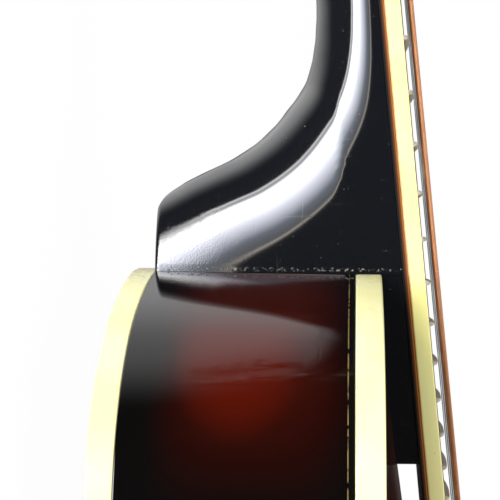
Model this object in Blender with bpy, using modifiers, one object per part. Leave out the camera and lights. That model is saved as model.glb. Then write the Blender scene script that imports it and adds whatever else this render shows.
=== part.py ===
"""A hollow, arched electric mandolin with eight strings and open geared tuners.

It lies on its back: +Z out of the face, +Y along the neck to the headstock, bass side at -X.
Three empties carry the pieces: the body frame has its origin in the middle of the top edge
at the neck joint, the neck frame on the fingerboard at the joint fret, and the head frame
on the face of the headstock at the nut.
"""
import math

import bmesh
import bpy
import numpy as np
from mathutils import Matrix, Vector

# Driving sizes, in metres
SEAT_GAP = 0.0003
CUT_SPARE = 0.002
SCALE_LENGTH = 0.3524
JOINT_FRET = 14
FRET_COUNT = 20

# Body
BODY_LENGTH = 0.341
BODY_WIDTH = 0.254
BODY_DEPTH = 0.0541
BODY_TOP_Y = 0.003
OUTLINE_STEPS = 2
RIM_WALL = 0.0026
TOP_BINDING_HEIGHT = 0.0056
BACK_BINDING_HEIGHT = 0.0052
BINDING_WALL = 0.0015
ARCH_HEIGHT = 0.011
ARCH_CENTRE_Y = -0.190
ARCH_POWER = 2.0
PLATE_THINNING = 0.0014
PLATE_FLAT_SHARE = 0.93
PLATE_RINGS = 4
LINING_WIDTH = 0.0055
LINING_HEIGHT = 0.011
BLOCK_HALF_WIDTH = 0.030
NECK_BLOCK_DEPTH = 0.026
TAIL_BLOCK_DEPTH = 0.018
TONE_BAR_WIDTH = 0.006
TONE_BAR_HEIGHT = 0.009
TONE_BAR_LENGTH = 0.185
TONE_BAR_X = 0.036
TONE_BAR_Y = -0.188

# Sound holes
F_HOLE_X = 0.070
F_HOLE_Y = -0.163
F_HOLE_LENGTH = 0.084
F_HOLE_SLOT = 0.0056
F_HOLE_SWAY = 0.0085
F_HOLE_EYE_RADIUS = 0.0048
F_HOLE_EYE_SHARE = 0.93
F_HOLE_TILT = math.radians(7)

# Neck
NECK_SLOPE = 0.0888
BOARD_Z = 0.0093
BOARD_THICKNESS = 0.0047
BOARD_HALF_WIDTH_JOINT = 0.019
NUT_HALF_WIDTH = 0.014
BOARD_TAIL = 0.0045
BOARD_BINDING_WALL = 0.0016
BOARD_BINDING_DROP = 0.0011
FRET_WIDTH = 0.0011
FRET_HEIGHT = 0.0010
NUT_THICKNESS = 0.0050
NECK_BACK_AT_NUT = 0.0160
NECK_BACK_AT_HEEL = 0.0181
HEEL_START_Y = 0.0626
HEEL_TIP_SHARE = 0.72
HEEL_ROUND_DEPTH = 0.023
DEPTH_BLEND = 6
HEEL_CORNER_Y = 0.0214
NECK_BACK_HALF_FLAT = 0.0006
HEEL_INSET = 0.0049
SUPPORT_LENGTH = 0.0385
SUPPORT_INSET = 0.0006
TENON_LENGTH = 0.014
TENON_HALF_WIDTH = 0.009
TENON_FLARE = 0.003
TENON_LIFT = 0.0015
TRUSS_ROD_RADIUS = 0.0024
TRUSS_ROD_START = 0.020

# Headstock and tuners
HEAD_ANGLE = math.radians(14.4)
HEAD_LENGTH = 0.120
HEAD_THICKNESS = 0.014
HEAD_DROP = 0.0025
OVERLAY_THICKNESS = 0.0020
TUNER_X = 0.0175
TUNER_FIRST_Y = 0.030
TUNER_SPACING = 0.023
POST_RADIUS = 0.0030
POST_WAIST_RADIUS = 0.0024
POST_STANDING = 0.0110
POST_SCREW_RADIUS = 0.0024
ROUND_SIDES = 8
PLATE_THICKNESS = 0.0012
PLATE_HALF_WIDTH = 0.0075
GEAR_TEETH = 15
THREAD_PITCH = 0.001676
GEAR_THICKNESS = 0.0034
TOOTH_HEIGHT = 0.0011
TOOTH_TIP_SHARE = 0.09
TOOTH_ROOT_SHARE = 0.27
MESH_CLEARANCE = 0.00022
WORM_PITCH_RADIUS = 0.0023
WORM_LENGTH = 0.0042
WORM_SIDES = 6
SHAFT_RADIUS = 0.00125
EAR_THICKNESS = 0.0014
EAR_HALF_WIDTH = 0.0030
EAR_UNDER_SHAFT = 0.0026
SHAFT_REACH = 0.0190
BUTTON_LENGTH = 0.0115
BUTTON_HALF_HEIGHT = 0.0064
BUTTON_HALF_THICKNESS = 0.0029

# Strings: half the thickness of each pair, and where the pairs run
STRING_RADII = {"g": 0.00048, "d": 0.00031, "a": 0.00020, "e": 0.00014}
NUT_PAIR_X = {"g": -0.0108, "d": -0.0036, "a": 0.0036, "e": 0.0108}
BRIDGE_PAIR_X = {"g": -0.0192, "d": -0.0064, "a": 0.0064, "e": 0.0192}
NUT_PAIR_HALF_GAP = 0.0009
BRIDGE_PAIR_HALF_GAP = 0.0012
ACTION_AT_NUT = 0.0013
ACTION_AT_JOINT = 0.0022
WRAP_TURNS = 2.25
WRAP_POINTS = 8
WRAP_GAP = 0.0005
WRAP_START = 0.0022

# Bridge
BRIDGE_HALF_LENGTH = 0.056
BRIDGE_HALF_DEPTH = 0.0048
BRIDGE_BASE_HEIGHT = 0.0040
STUD_X = 0.0275
STUD_RADIUS = 0.0018
WHEEL_RADIUS = 0.0066
WHEEL_THICKNESS = 0.0020
WHEEL_LIFT = 0.0018
SADDLE_HALF_LENGTH = 0.0345
SADDLE_HALF_DEPTH = 0.0040
SADDLE_CREST_HALF = 0.0011
STUD_INTO_SADDLE = 0.0026
STUD_HOLE_SPARE = 0.0022

# Tailpiece
TAILPIECE_HALF_WIDTH = 0.024
TAILPIECE_SHEET = 0.0014
TAILPIECE_REACH = 0.046
TAILPIECE_LIFT = 0.0022
TAILPIECE_DROP = 0.040
HOOK_RADIUS = 0.0009
HOOK_HEIGHT = 0.0048
HOOK_ROW_INSET = 0.0150
HOOK_ROW_STEP = 0.0065
HOOK_PAIR_HALF_GAP = 0.0019
COVER_WALL = 0.0010
COVER_HEIGHT = 0.0105
COVER_LENGTH = 0.045

# Electric parts
PICKUP_BOARD_GAP = 0.0009
PICKUP_WIDTH = 0.034
PICKUP_HALF_LENGTH = 0.041
PICKUP_STRING_GAP = 0.0040
PICKUP_COVER_WALL = 0.0018
COIL_MARGIN = 0.0035
COIL_DEPTH = 0.0130
POLE_RADIUS = 0.0022
POLE_PROUD = 0.0008
VOLUME_PLACE = (0.076, -0.262)
TONE_PLACE = (0.094, -0.226)
POT_RADIUS = 0.0120
POT_HEIGHT = 0.0085
BUSHING_RADIUS = 0.0046
BUSHING_PROUD = 0.0042
CONTROL_SHAFT_RADIUS = 0.0030
CONTROL_SHAFT_PROUD = 0.0110
KNOB_RADIUS = 0.0120
KNOB_TOP_RADIUS = 0.0092
KNOB_HEIGHT = 0.0130
KNOB_LIFT = 0.0055
JACK_BARREL_RADIUS = 0.0047
JACK_BORE_RADIUS = 0.0033
JACK_NUT_RADIUS = 0.0080
JACK_NUT_THICKNESS = 0.0030
JACK_INNER_LENGTH = 0.018
JACK_SHOULDER_GAP = 0.0014
STRAP_BUTTON_LENGTH = 0.0125
STRAP_BUTTON_RADIUS = 0.0070
STRAP_SCREW_RADIUS = 0.0024
STRAP_SCREW_LENGTH = 0.016

# Half of the body outline, as shares of the half width and of the length, from the
# neck joint round to the tail
HALF_OUTLINE = [
    (0.000, 0.000), (0.236, 0.009), (0.488, 0.035), (0.655, 0.077), (0.740, 0.138),
    (0.822, 0.262), (0.915, 0.402), (0.988, 0.545), (0.992, 0.690), (0.880, 0.838),
    (0.648, 0.940), (0.335, 0.988), (0.000, 1.000),
]

# Back of the heel: distance from the joint, and how far it has come from the neck to the tip
HEEL_CURVE = [
    (0.0157, 1.000), (0.0183, 0.973), (0.0214, 0.880), (0.0243, 0.732), (0.0279, 0.539),
    (0.0328, 0.360), (0.0386, 0.218), (0.0441, 0.109), (0.0499, 0.051), (0.0554, 0.020),
    (0.0626, 0.000),
]

# Half of the headstock outline: half width, and share of its length
HEAD_OUTLINE = [
    (0.0150, -0.06), (0.0155, 0.02), (0.0200, 0.08), (0.0272, 0.15), (0.0292, 0.24),
    (0.0285, 0.55), (0.0300, 0.86), (0.0270, 0.935), (0.0140, 0.975), (0.0000, 1.000),
]

# Sizes worked out from the driving sizes
TILT = math.atan(NECK_SLOPE)
HALF_WIDTH = BODY_WIDTH / 2
TAIL_Y = BODY_TOP_Y - BODY_LENGTH
NUT_Y = SCALE_LENGTH * (1 - 2 ** (-JOINT_FRET / 12))
BRIDGE_LOCAL_Y = NUT_Y - SCALE_LENGTH
BOARD_END_Y = NUT_Y - SCALE_LENGTH * (1 - 2 ** (-FRET_COUNT / 12)) - BOARD_TAIL
GEAR_PITCH_RADIUS = GEAR_TEETH * THREAD_PITCH / (2 * math.pi)
WORM_OFFSET = GEAR_PITCH_RADIUS + WORM_PITCH_RADIUS
GEAR_TIP_RADIUS = GEAR_PITCH_RADIUS + TOOTH_HEIGHT / 2
EAR_TO_POST = math.sqrt((GEAR_TIP_RADIUS + SEAT_GAP) ** 2 - (WORM_LENGTH / 2 + SEAT_GAP) ** 2)
PLATE_BACK = -HEAD_THICKNESS - SEAT_GAP - PLATE_THICKNESS
GEAR_MID_Z = PLATE_BACK - SEAT_GAP - WORM_PITCH_RADIUS - TOOTH_HEIGHT / 2
TENON_BOTTOM = -BODY_DEPTH + BACK_BINDING_HEIGHT + LINING_HEIGHT + TENON_LIFT
PICKUP_FRONT_Y = BOARD_END_Y - SEAT_GAP - BOARD_BINDING_WALL - PICKUP_BOARD_GAP


MATERIALS = {
    "lacquer_black": ((0.010, 0.010, 0.012), 0.12, 0.0),
    "sunburst_side": ((0.12, 0.014, 0.006), 0.15, 0.0),
    "sunburst_top": ((0.34, 0.12, 0.03), 0.18, 0.0),
    "ivory_binding": ((0.90, 0.82, 0.45), 0.30, 0.0),
    "rosewood": ((0.055, 0.022, 0.014), 0.45, 0.0),
    "inner_wood": ((0.62, 0.44, 0.25), 0.65, 0.0),
    "nickel": ((0.72, 0.69, 0.63), 0.25, 1.0),
    "wound_bronze": ((0.55, 0.28, 0.12), 0.35, 1.0),
    "plain_steel": ((0.75, 0.75, 0.76), 0.22, 1.0),
    "bone": ((0.88, 0.83, 0.68), 0.40, 0.0),
    "black_plastic": ((0.015, 0.014, 0.014), 0.25, 0.0),
    "cream_plastic": ((0.86, 0.78, 0.55), 0.30, 0.0),
    "ebony": ((0.020, 0.016, 0.014), 0.35, 0.0),
}


def clear_scene():
    for obj in list(bpy.data.objects):
        bpy.data.objects.remove(obj)


def make_collection(name):
    collection = bpy.data.collections.new(name)
    bpy.context.scene.collection.children.link(collection)
    return collection


def make_materials():
    made = {}
    for name, (colour, roughness, metallic) in MATERIALS.items():
        material = bpy.data.materials.new(name)
        material.use_nodes = True
        shader = material.node_tree.nodes["Principled BSDF"]
        shader.inputs["Base Color"].default_value = (*colour, 1.0)
        shader.inputs["Roughness"].default_value = roughness
        shader.inputs["Metallic"].default_value = metallic
        made[name] = material
    return made


def add_empty(name, location, rotation, parent):
    empty = bpy.data.objects.new(name, None)
    empty.location = location
    empty.rotation_euler = rotation
    empty.parent = parent
    PARTS.objects.link(empty)
    return empty


clear_scene()
PARTS = make_collection("electric_mandolin")
CUTTERS = make_collection("cutters")
PAINT = make_materials()
BODY = add_empty("body_frame", (0, 0, 0), (0, 0, 0), None)
NECK = add_empty("neck_frame", (0, 0, BOARD_Z), (-TILT, 0, 0), BODY)
HEAD = add_empty(
    "head_frame", (0, NUT_Y + NUT_THICKNESS + SEAT_GAP, -HEAD_DROP), (-HEAD_ANGLE, 0, 0), NECK
)


def place(obj, parent, material=None, location=(0, 0, 0), rotation=(0, 0, 0)):
    """Makes obj a part when it has a material, and otherwise a cutter."""
    obj.parent = parent
    obj.location = location
    obj.rotation_euler = rotation
    if material:
        PARTS.objects.link(obj)
        obj.data.materials.append(PAINT[material])
    else:
        CUTTERS.objects.link(obj)
        obj.hide_render = True
        obj.display_type = "WIRE"
    return obj


def mesh_from(name, points, faces, smooth_angle=None):
    mesh = bpy.data.meshes.new(name)
    mesh.from_pydata([tuple(map(float, p)) for p in points], [], faces)
    work = bmesh.new()
    work.from_mesh(mesh)
    bmesh.ops.recalc_face_normals(work, faces=work.faces)
    work.to_mesh(mesh)
    work.free()
    if smooth_angle:
        mesh.shade_smooth()
        mesh.set_sharp_from_angle(angle=math.radians(smooth_angle))
    return mesh


def box(name, low, high):
    mesh = bpy.data.meshes.new(name)
    work = bmesh.new()
    bmesh.ops.create_cube(work, size=1.0)
    size = Vector(high) - Vector(low)
    middle = (Vector(high) + Vector(low)) / 2
    matrix = Matrix.Translation(middle) @ Matrix.Diagonal((*size, 1.0))
    bmesh.ops.transform(work, matrix=matrix, verts=work.verts)
    work.to_mesh(mesh)
    work.free()
    return bpy.data.objects.new(name, mesh)


def cylinder(name, radius, low_z, high_z, sides=16, centre=(0, 0)):
    mesh = bpy.data.meshes.new(name)
    work = bmesh.new()
    bmesh.ops.create_cone(
        work, cap_ends=True, segments=sides, radius1=radius, radius2=radius, depth=high_z - low_z,
        matrix=Matrix.Translation((centre[0], centre[1], (low_z + high_z) / 2)),
    )
    work.to_mesh(mesh)
    work.free()
    mesh.shade_smooth()
    mesh.set_sharp_from_angle(angle=math.radians(40))
    return bpy.data.objects.new(name, mesh)


def turned(name, profile, sides):
    """A profile of (radius, height), top to bottom, turned about Z with a Screw modifier."""
    mesh = bpy.data.meshes.new(name)
    edges = [(i, i + 1) for i in range(len(profile) - 1)]
    mesh.from_pydata([(radius, 0.0, height) for radius, height in profile], edges, [])
    obj = bpy.data.objects.new(name, mesh)
    screw = obj.modifiers.new("turn", "SCREW")
    screw.axis = "Z"
    screw.steps = sides
    screw.render_steps = sides
    screw.use_merge_vertices = True
    screw.merge_threshold = 0.00001
    screw.use_smooth_shade = True
    return obj


def extruded(name, outline, low_z, high_z, smooth_angle=None):
    """A closed outline of (x, y) points with flat ends."""
    count = len(outline)
    points = [(x, y, low_z) for x, y in outline] + [(x, y, high_z) for x, y in outline]
    faces = [tuple(range(count)), tuple(range(count, 2 * count))]
    faces += [(i, (i + 1) % count, count + (i + 1) % count, count + i) for i in range(count)]
    return bpy.data.objects.new(name, mesh_from(name, points, faces, smooth_angle))


def ring(name, outer, inner, low_z, high_z, smooth_angle=40):
    """The wall between two outlines with the same number of points."""
    count = len(outer)
    points = [(x, y, low_z) for x, y in outer] + [(x, y, high_z) for x, y in outer]
    points += [(x, y, high_z) for x, y in inner] + [(x, y, low_z) for x, y in inner]
    faces = []
    for level in range(4):
        here = level * count
        above = ((level + 1) % 4) * count
        for i in range(count):
            j = (i + 1) % count
            faces.append((here + i, here + j, above + j, above + i))
    return bpy.data.objects.new(name, mesh_from(name, points, faces, smooth_angle))


def loft(name, sections, smooth_angle=40):
    """Closed sections with the same number of points, joined in order and capped."""
    count = len(sections[0])
    points = [point for section in sections for point in section]
    faces = [tuple(range(count)), tuple(range(len(points) - count, len(points)))]
    for row in range(len(sections) - 1):
        here = row * count
        after = here + count
        for i in range(count):
            j = (i + 1) % count
            faces.append((here + i, here + j, after + j, after + i))
    return bpy.data.objects.new(name, mesh_from(name, points, faces, smooth_angle))


def cut(obj, cutter, operation="DIFFERENCE"):
    modifier = obj.modifiers.new(cutter.name, "BOOLEAN")
    modifier.operation = operation
    modifier.object = cutter
    return modifier


def baked_mesh(obj, name):
    """The finished mesh of an object with modifiers, for pieces that are repeated."""
    bpy.context.view_layer.update()
    graph = bpy.context.evaluated_depsgraph_get()
    mesh = bpy.data.meshes.new_from_object(obj.evaluated_get(graph))
    mesh.name = name
    return mesh


def tube(name, points, radius, parent, material):
    """A wire through points in the parent's frame: six-sided, or four-sided where it is thin."""
    curve = bpy.data.curves.new(name, "CURVE")
    curve.dimensions = "3D"
    curve.bevel_depth = radius
    curve.bevel_resolution = 1 if radius > 0.00025 else 0
    curve.use_fill_caps = True
    spline = curve.splines.new("POLY")
    spline.points.add(len(points) - 1)
    for spot, point in zip(spline.points, points):
        spot.co = (*point, 1.0)
    return place(bpy.data.objects.new(name, curve), parent, material)


# Outline and arching
def body_outline():
    """Closed, smooth outline, counted from the joint round the treble side."""
    half = [(x * HALF_WIDTH, BODY_TOP_Y - y * BODY_LENGTH) for x, y in HALF_OUTLINE]
    control = half + [(-x, y) for x, y in half[-2:0:-1]]
    count = len(control)
    outline = []
    for i in range(count):
        before, start, end, after = (Vector(control[(i + k) % count]) for k in (-1, 0, 1, 2))
        for step in range(OUTLINE_STEPS):
            t = step / OUTLINE_STEPS
            point = (
                start * 2 + (end - before) * t
                + (before * 2 - start * 5 + end * 4 - after) * t ** 2
                + (start * 3 - before - end * 3 + after) * t ** 3
            ) / 2
            outline.append((point.x, point.y))
    return outline


def inset(outline, distance):
    """The outline moved in by a distance, each side parallel to where it was."""
    points = np.array(outline)
    forward = np.roll(points, -1, axis=0) - points
    forward /= np.linalg.norm(forward, axis=1)[:, None]
    backward = np.roll(forward, 1, axis=0)
    normal_after = np.column_stack([forward[:, 1], -forward[:, 0]])
    normal_before = np.column_stack([backward[:, 1], -backward[:, 0]])
    bisector = normal_after + normal_before
    bisector /= np.linalg.norm(bisector, axis=1)[:, None]
    stretch = 1 / np.sum(bisector * normal_after, axis=1)
    moved = points + bisector * (distance * stretch)[:, None]
    return [tuple(point) for point in moved]


OUTLINE = body_outline()
PLATE_OUTLINE = inset(OUTLINE, BINDING_WALL + SEAT_GAP)
RIM_INNER = inset(OUTLINE, RIM_WALL)


def outline_share(x, y):
    """How far (x, y) lies from the arch's centre to the plate's edge, 0 to 1."""
    centre = np.array([0.0, ARCH_CENTRE_Y])
    ray = np.array([x, y]) - centre
    if np.linalg.norm(ray) < 1e-9:
        return 0.0
    points = np.array(PLATE_OUTLINE) - centre
    ends = np.roll(points, -1, axis=0)
    side = ends - points
    cross = ray[0] * side[:, 1] - ray[1] * side[:, 0]
    with np.errstate(divide="ignore", invalid="ignore"):
        along = (points[:, 0] * side[:, 1] - points[:, 1] * side[:, 0]) / cross
        across = (points[:, 0] * ray[1] - points[:, 1] * ray[0]) / cross
    hit = (across >= -1e-9) & (across <= 1 + 1e-9) & (along > 0)
    return float(1 / along[hit].min())


def outer_arch(share):
    return ARCH_HEIGHT * (1 + math.cos(math.pi * min(1.0, share) ** ARCH_POWER)) / 2


def inner_arch(share):
    reach = min(1.0, share / PLATE_FLAT_SHARE)
    return (ARCH_HEIGHT + PLATE_THINNING) * (1 + math.cos(math.pi * reach ** ARCH_POWER)) / 2


def top_height(x, y):
    return outer_arch(outline_share(x, y))


def under_top_height(x, y):
    return inner_arch(outline_share(x, y)) - TOP_BINDING_HEIGHT


def top_normal(x, y):
    step = 0.002
    slope_x = (top_height(x + step, y) - top_height(x - step, y)) / (2 * step)
    slope_y = (top_height(x, y + step) - top_height(x, y - step)) / (2 * step)
    return Vector((-slope_x, -slope_y, 1.0)).normalized()


def arched_plate(name, edge, base_z, thickness, direction):
    """A carved plate: rings of the outline round the arch's centre, on both faces."""
    count = len(edge)
    shares = [(i / PLATE_RINGS) ** 0.9 for i in range(1, PLATE_RINGS)] + [PLATE_FLAT_SHARE, 1.0]
    centre = np.array([0.0, ARCH_CENTRE_Y])
    points = []
    for arch, level in ((outer_arch, base_z), (inner_arch, base_z - direction * thickness)):
        points.append((*centre, level + direction * arch(0.0)))
        for share in shares:
            place_xy = centre + share * (np.array(edge) - centre)
            points += [(x, y, level + direction * arch(share)) for x, y in place_xy]
    faces = []
    face_size = 1 + count * len(shares)
    for start in (0, face_size):
        faces += [(start, start + 1 + i, start + 1 + (i + 1) % count) for i in range(count)]
        for row in range(len(shares) - 1):
            here = start + 1 + row * count
            faces += [
                (here + i, here + count + i, here + count + (i + 1) % count, here + (i + 1) % count)
                for i in range(count)
            ]
    rim_a = face_size - count
    rim_b = 2 * face_size - count
    for i in range(count):
        j = (i + 1) % count
        faces.append((rim_a + i, rim_a + j, rim_b + j, rim_b + i))
    return bpy.data.objects.new(name, mesh_from(name, points, faces, 40))


def f_hole_slot(side):
    """The S-shaped slot of one sound hole, thinner towards its ends."""
    steps = 11
    left = []
    right = []
    for i in range(steps):
        t = 2 * i / (steps - 1) - 1
        y = t * F_HOLE_LENGTH / 2
        x = F_HOLE_SWAY * math.sin(math.pi * t * 0.9)
        half = F_HOLE_SLOT / 2 * (1 - 0.45 * t * t)
        slope = F_HOLE_SWAY * math.pi * 0.9 * math.cos(math.pi * t * 0.9) / (F_HOLE_LENGTH / 2)
        across = Vector((1.0, -slope)).normalized() * half
        left.append((side * (x - across.x), y - across.y))
        right.append((side * (x + across.x), y + across.y))
    return left + right[::-1]


def make_body():
    top_edge = PLATE_OUTLINE
    top = place(
        arched_plate("top_plate", top_edge, 0.0, TOP_BINDING_HEIGHT, 1), BODY, "sunburst_top"
    )
    place(
        arched_plate("back_plate", PLATE_OUTLINE, -BODY_DEPTH, BACK_BINDING_HEIGHT, -1),
        BODY, "sunburst_top",
    )
    for side, label in ((-1, "bass"), (1, "treble")):
        middle = Vector((side * F_HOLE_X, F_HOLE_Y, 0))
        turn = (0, 0, side * F_HOLE_TILT)
        slot = extruded(f"f_slot_{label}", f_hole_slot(side), -0.02, 0.03)
        cut(top, place(slot, BODY, None, middle, turn))
        lean = Matrix.Rotation(side * F_HOLE_TILT, 3, "Z")
        for end in (-1, 1):
            t = F_HOLE_EYE_SHARE * end
            out = F_HOLE_SWAY * math.sin(math.pi * t * 0.9) - end * F_HOLE_EYE_RADIUS * 0.75
            eye_at = Vector((side * out, t * F_HOLE_LENGTH / 2, 0))
            eye = cylinder("f_eye", F_HOLE_EYE_RADIUS, -0.02, 0.03, 12)
            cut(top, place(eye, BODY, None, middle + lean @ eye_at, turn))
    coil_hole = box(
        "coil_hole",
        (-PICKUP_HALF_LENGTH + PICKUP_COVER_WALL + COIL_MARGIN - 2 * SEAT_GAP,
         PICKUP_FRONT_Y - PICKUP_WIDTH + PICKUP_COVER_WALL + COIL_MARGIN - 2 * SEAT_GAP, -0.02),
        (PICKUP_HALF_LENGTH - PICKUP_COVER_WALL - COIL_MARGIN + 2 * SEAT_GAP,
         PICKUP_FRONT_Y - PICKUP_COVER_WALL - COIL_MARGIN + 2 * SEAT_GAP, 0.03),
    )
    cut(top, place(coil_hole, BODY))

    rim_top = -TOP_BINDING_HEIGHT - SEAT_GAP
    rim_bottom = -BODY_DEPTH + BACK_BINDING_HEIGHT + SEAT_GAP
    rim = place(ring("rim", OUTLINE, RIM_INNER, rim_bottom, rim_top), BODY, "sunburst_side")
    cut(rim, tenon_cutter("rim_mortise", SEAT_GAP))
    cut(rim, jack_cutter("rim_jack_hole"))
    cut(rim, screw_cutter("rim_screw_hole"))

    binding_inner = inset(OUTLINE, BINDING_WALL)
    place(ring("top_binding", OUTLINE, binding_inner, -TOP_BINDING_HEIGHT, 0.0), BODY, "ivory_binding")
    place(
        ring("back_binding", OUTLINE, binding_inner, -BODY_DEPTH, -BODY_DEPTH + BACK_BINDING_HEIGHT),
        BODY, "ivory_binding",
    )

    lining_outer = inset(RIM_INNER, SEAT_GAP)
    lining_inner = inset(lining_outer, LINING_WIDTH)
    top_lining = place(
        ring("top_lining", lining_outer, lining_inner, rim_top - LINING_HEIGHT, rim_top), BODY, "inner_wood"
    )
    cut(top_lining, tenon_cutter("lining_mortise", SEAT_GAP))
    place(
        ring("back_lining", lining_outer, lining_inner, rim_bottom, rim_bottom + LINING_HEIGHT),
        BODY, "inner_wood",
    )
    for name, depth, end in (("neck_block", NECK_BLOCK_DEPTH, 1), ("tail_block", TAIL_BLOCK_DEPTH, -1)):
        make_block(name, depth, end, lining_outer, inset(lining_inner, SEAT_GAP), rim_bottom, rim_top)
    for side, label in ((-1, "bass"), (1, "treble")):
        make_tone_bar(f"tone_bar_{label}", side)


def make_block(name, depth, end, against_rim, against_lining, low_z, high_z):
    """An end block: as high as the rim, and notched for the two linings."""
    halves = []
    for outline, low, high in (
        (against_lining, low_z, high_z),
        (against_rim, low_z + LINING_HEIGHT + SEAT_GAP, high_z - LINING_HEIGHT - SEAT_GAP),
    ):
        near = [
            point for point in outline
            if abs(point[0]) < BLOCK_HALF_WIDTH and (point[1] - ARCH_CENTRE_Y) * end > 0
        ]
        near.sort()
        furthest = max(end * point[1] for point in against_rim)
        flat_y = end * (furthest - depth)
        shape = near + [(near[-1][0], flat_y), (near[0][0], flat_y)]
        halves.append(extruded(name if not halves else f"{name}_tongue", shape, low, high))
    block = place(halves[0], BODY, "inner_wood")
    cut(block, place(halves[1], BODY), "UNION")
    if end > 0:
        cut(block, tenon_cutter("block_mortise", SEAT_GAP))
    else:
        cut(block, screw_cutter("block_screw_hole"))


def make_tone_bar(name, side):
    """A bar that follows the underside of the top and is scooped at both ends."""
    sections = []
    steps = 9
    for i in range(steps):
        t = 2 * i / (steps - 1) - 1
        y = TONE_BAR_Y + t * TONE_BAR_LENGTH / 2
        x_low = side * TONE_BAR_X - TONE_BAR_WIDTH / 2
        x_high = x_low + TONE_BAR_WIDTH
        height = TONE_BAR_HEIGHT * (1 - 0.8 * t ** 4)
        glue_low = under_top_height(x_low, y) - 2 * SEAT_GAP
        glue_high = under_top_height(x_high, y) - 2 * SEAT_GAP
        base = min(glue_low, glue_high) - height
        sections.append([(x_low, y, glue_low), (x_high, y, glue_high), (x_high, y, base), (x_low, y, base)])
    place(loft(name, sections), BODY, "inner_wood")


# Neck, fingerboard and nut
def board_half_width(y):
    return BOARD_HALF_WIDTH_JOINT + (NUT_HALF_WIDTH - BOARD_HALF_WIDTH_JOINT) * y / NUT_Y


def neck_top(y):
    """Height of the neck's glue face under the fingerboard, in the body frame."""
    return BOARD_Z - (BOARD_THICKNESS + SEAT_GAP) / math.cos(TILT) - y * math.tan(TILT)


def neck_back(y):
    """Height of the back of the neck and heel along the middle."""
    share = (y - HEEL_START_Y) / (NUT_Y - HEEL_START_Y)
    thickness = NECK_BACK_AT_HEEL + (NECK_BACK_AT_NUT - NECK_BACK_AT_HEEL) * max(0.0, share)
    line = BOARD_Z - y * math.tan(TILT) - thickness
    ys, shares = zip(*HEEL_CURVE)
    heel = float(np.interp(y, ys, shares))
    return line + heel * (heel_tip_z() - line)


def heel_tip_z():
    return -BODY_DEPTH + HEEL_INSET


def back_curve():
    """The line of the neck's back and of the heel, run on straight past the heel's tip."""
    ys = np.linspace(HEEL_CORNER_Y, NUT_Y + 0.03, 900)
    line = np.array([(y, neck_back(y)) for y in ys])
    step = (line[0] - line[6]) / np.linalg.norm(line[0] - line[6])
    beyond = line[0] + step * np.linspace(0.020, 0.0, 80, endpoint=False)[:, None]
    return np.concatenate([beyond, line])


def neck_half_width(y, z, top):
    """Half the neck's width: full beyond a depth from its back, and a quarter ellipse within it."""
    curve = back_curve()
    depth = np.hypot(curve[:, 0] - y, curve[:, 1] - z).min()
    own_depth = np.hypot(curve[:, 0] - y, curve[:, 1] - top).min()
    full_depth = (HEEL_ROUND_DEPTH ** -DEPTH_BLEND + own_depth ** -DEPTH_BLEND) ** (-1 / DEPTH_BLEND)
    rounding = math.sqrt(1 - (1 - min(1.0, depth / full_depth)) ** 2)
    depth_share = (top - z) / (neck_top(0.0) - heel_tip_z())
    narrowing = 1 - (1 - HEEL_TIP_SHARE) * max(0.0, depth_share - 0.2) / 0.8
    return (board_half_width(y) - 0.0002) * rounding * narrowing


def neck_section(y):
    """A section across the neck: flat on top, round at the back, cut flat at the heel's tip."""
    top = neck_top(y)
    bottom = neck_back(y)
    steps = 7
    heights = [top - (top - bottom) * math.sin(math.pi / 2 * i / steps) for i in range(steps)]
    widths = [neck_half_width(y, z, top) for z in heights]
    heights.append(bottom)
    widths.append(max(NECK_BACK_HALF_FLAT, neck_half_width(y, bottom, top)))
    right = [(width, y, z) for width, z in zip(widths, heights)]
    return right + [(-x, y, z) for x, y, z in reversed(right)]


def tenon_shape(grow):
    """The dovetail, wider at its far end, grown sideways by a clearance."""
    wide = TENON_HALF_WIDTH + grow
    flare = TENON_HALF_WIDTH + TENON_FLARE + grow
    root = BODY_TOP_Y + 0.004
    end = BODY_TOP_Y - TENON_LENGTH - grow
    return [(-wide, root), (-flare, end), (flare, end), (wide, root)]


def tenon_cutter(name, grow):
    cutter = extruded(name, tenon_shape(grow), TENON_BOTTOM - grow, 0.01)
    return place(cutter, BODY)


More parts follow.
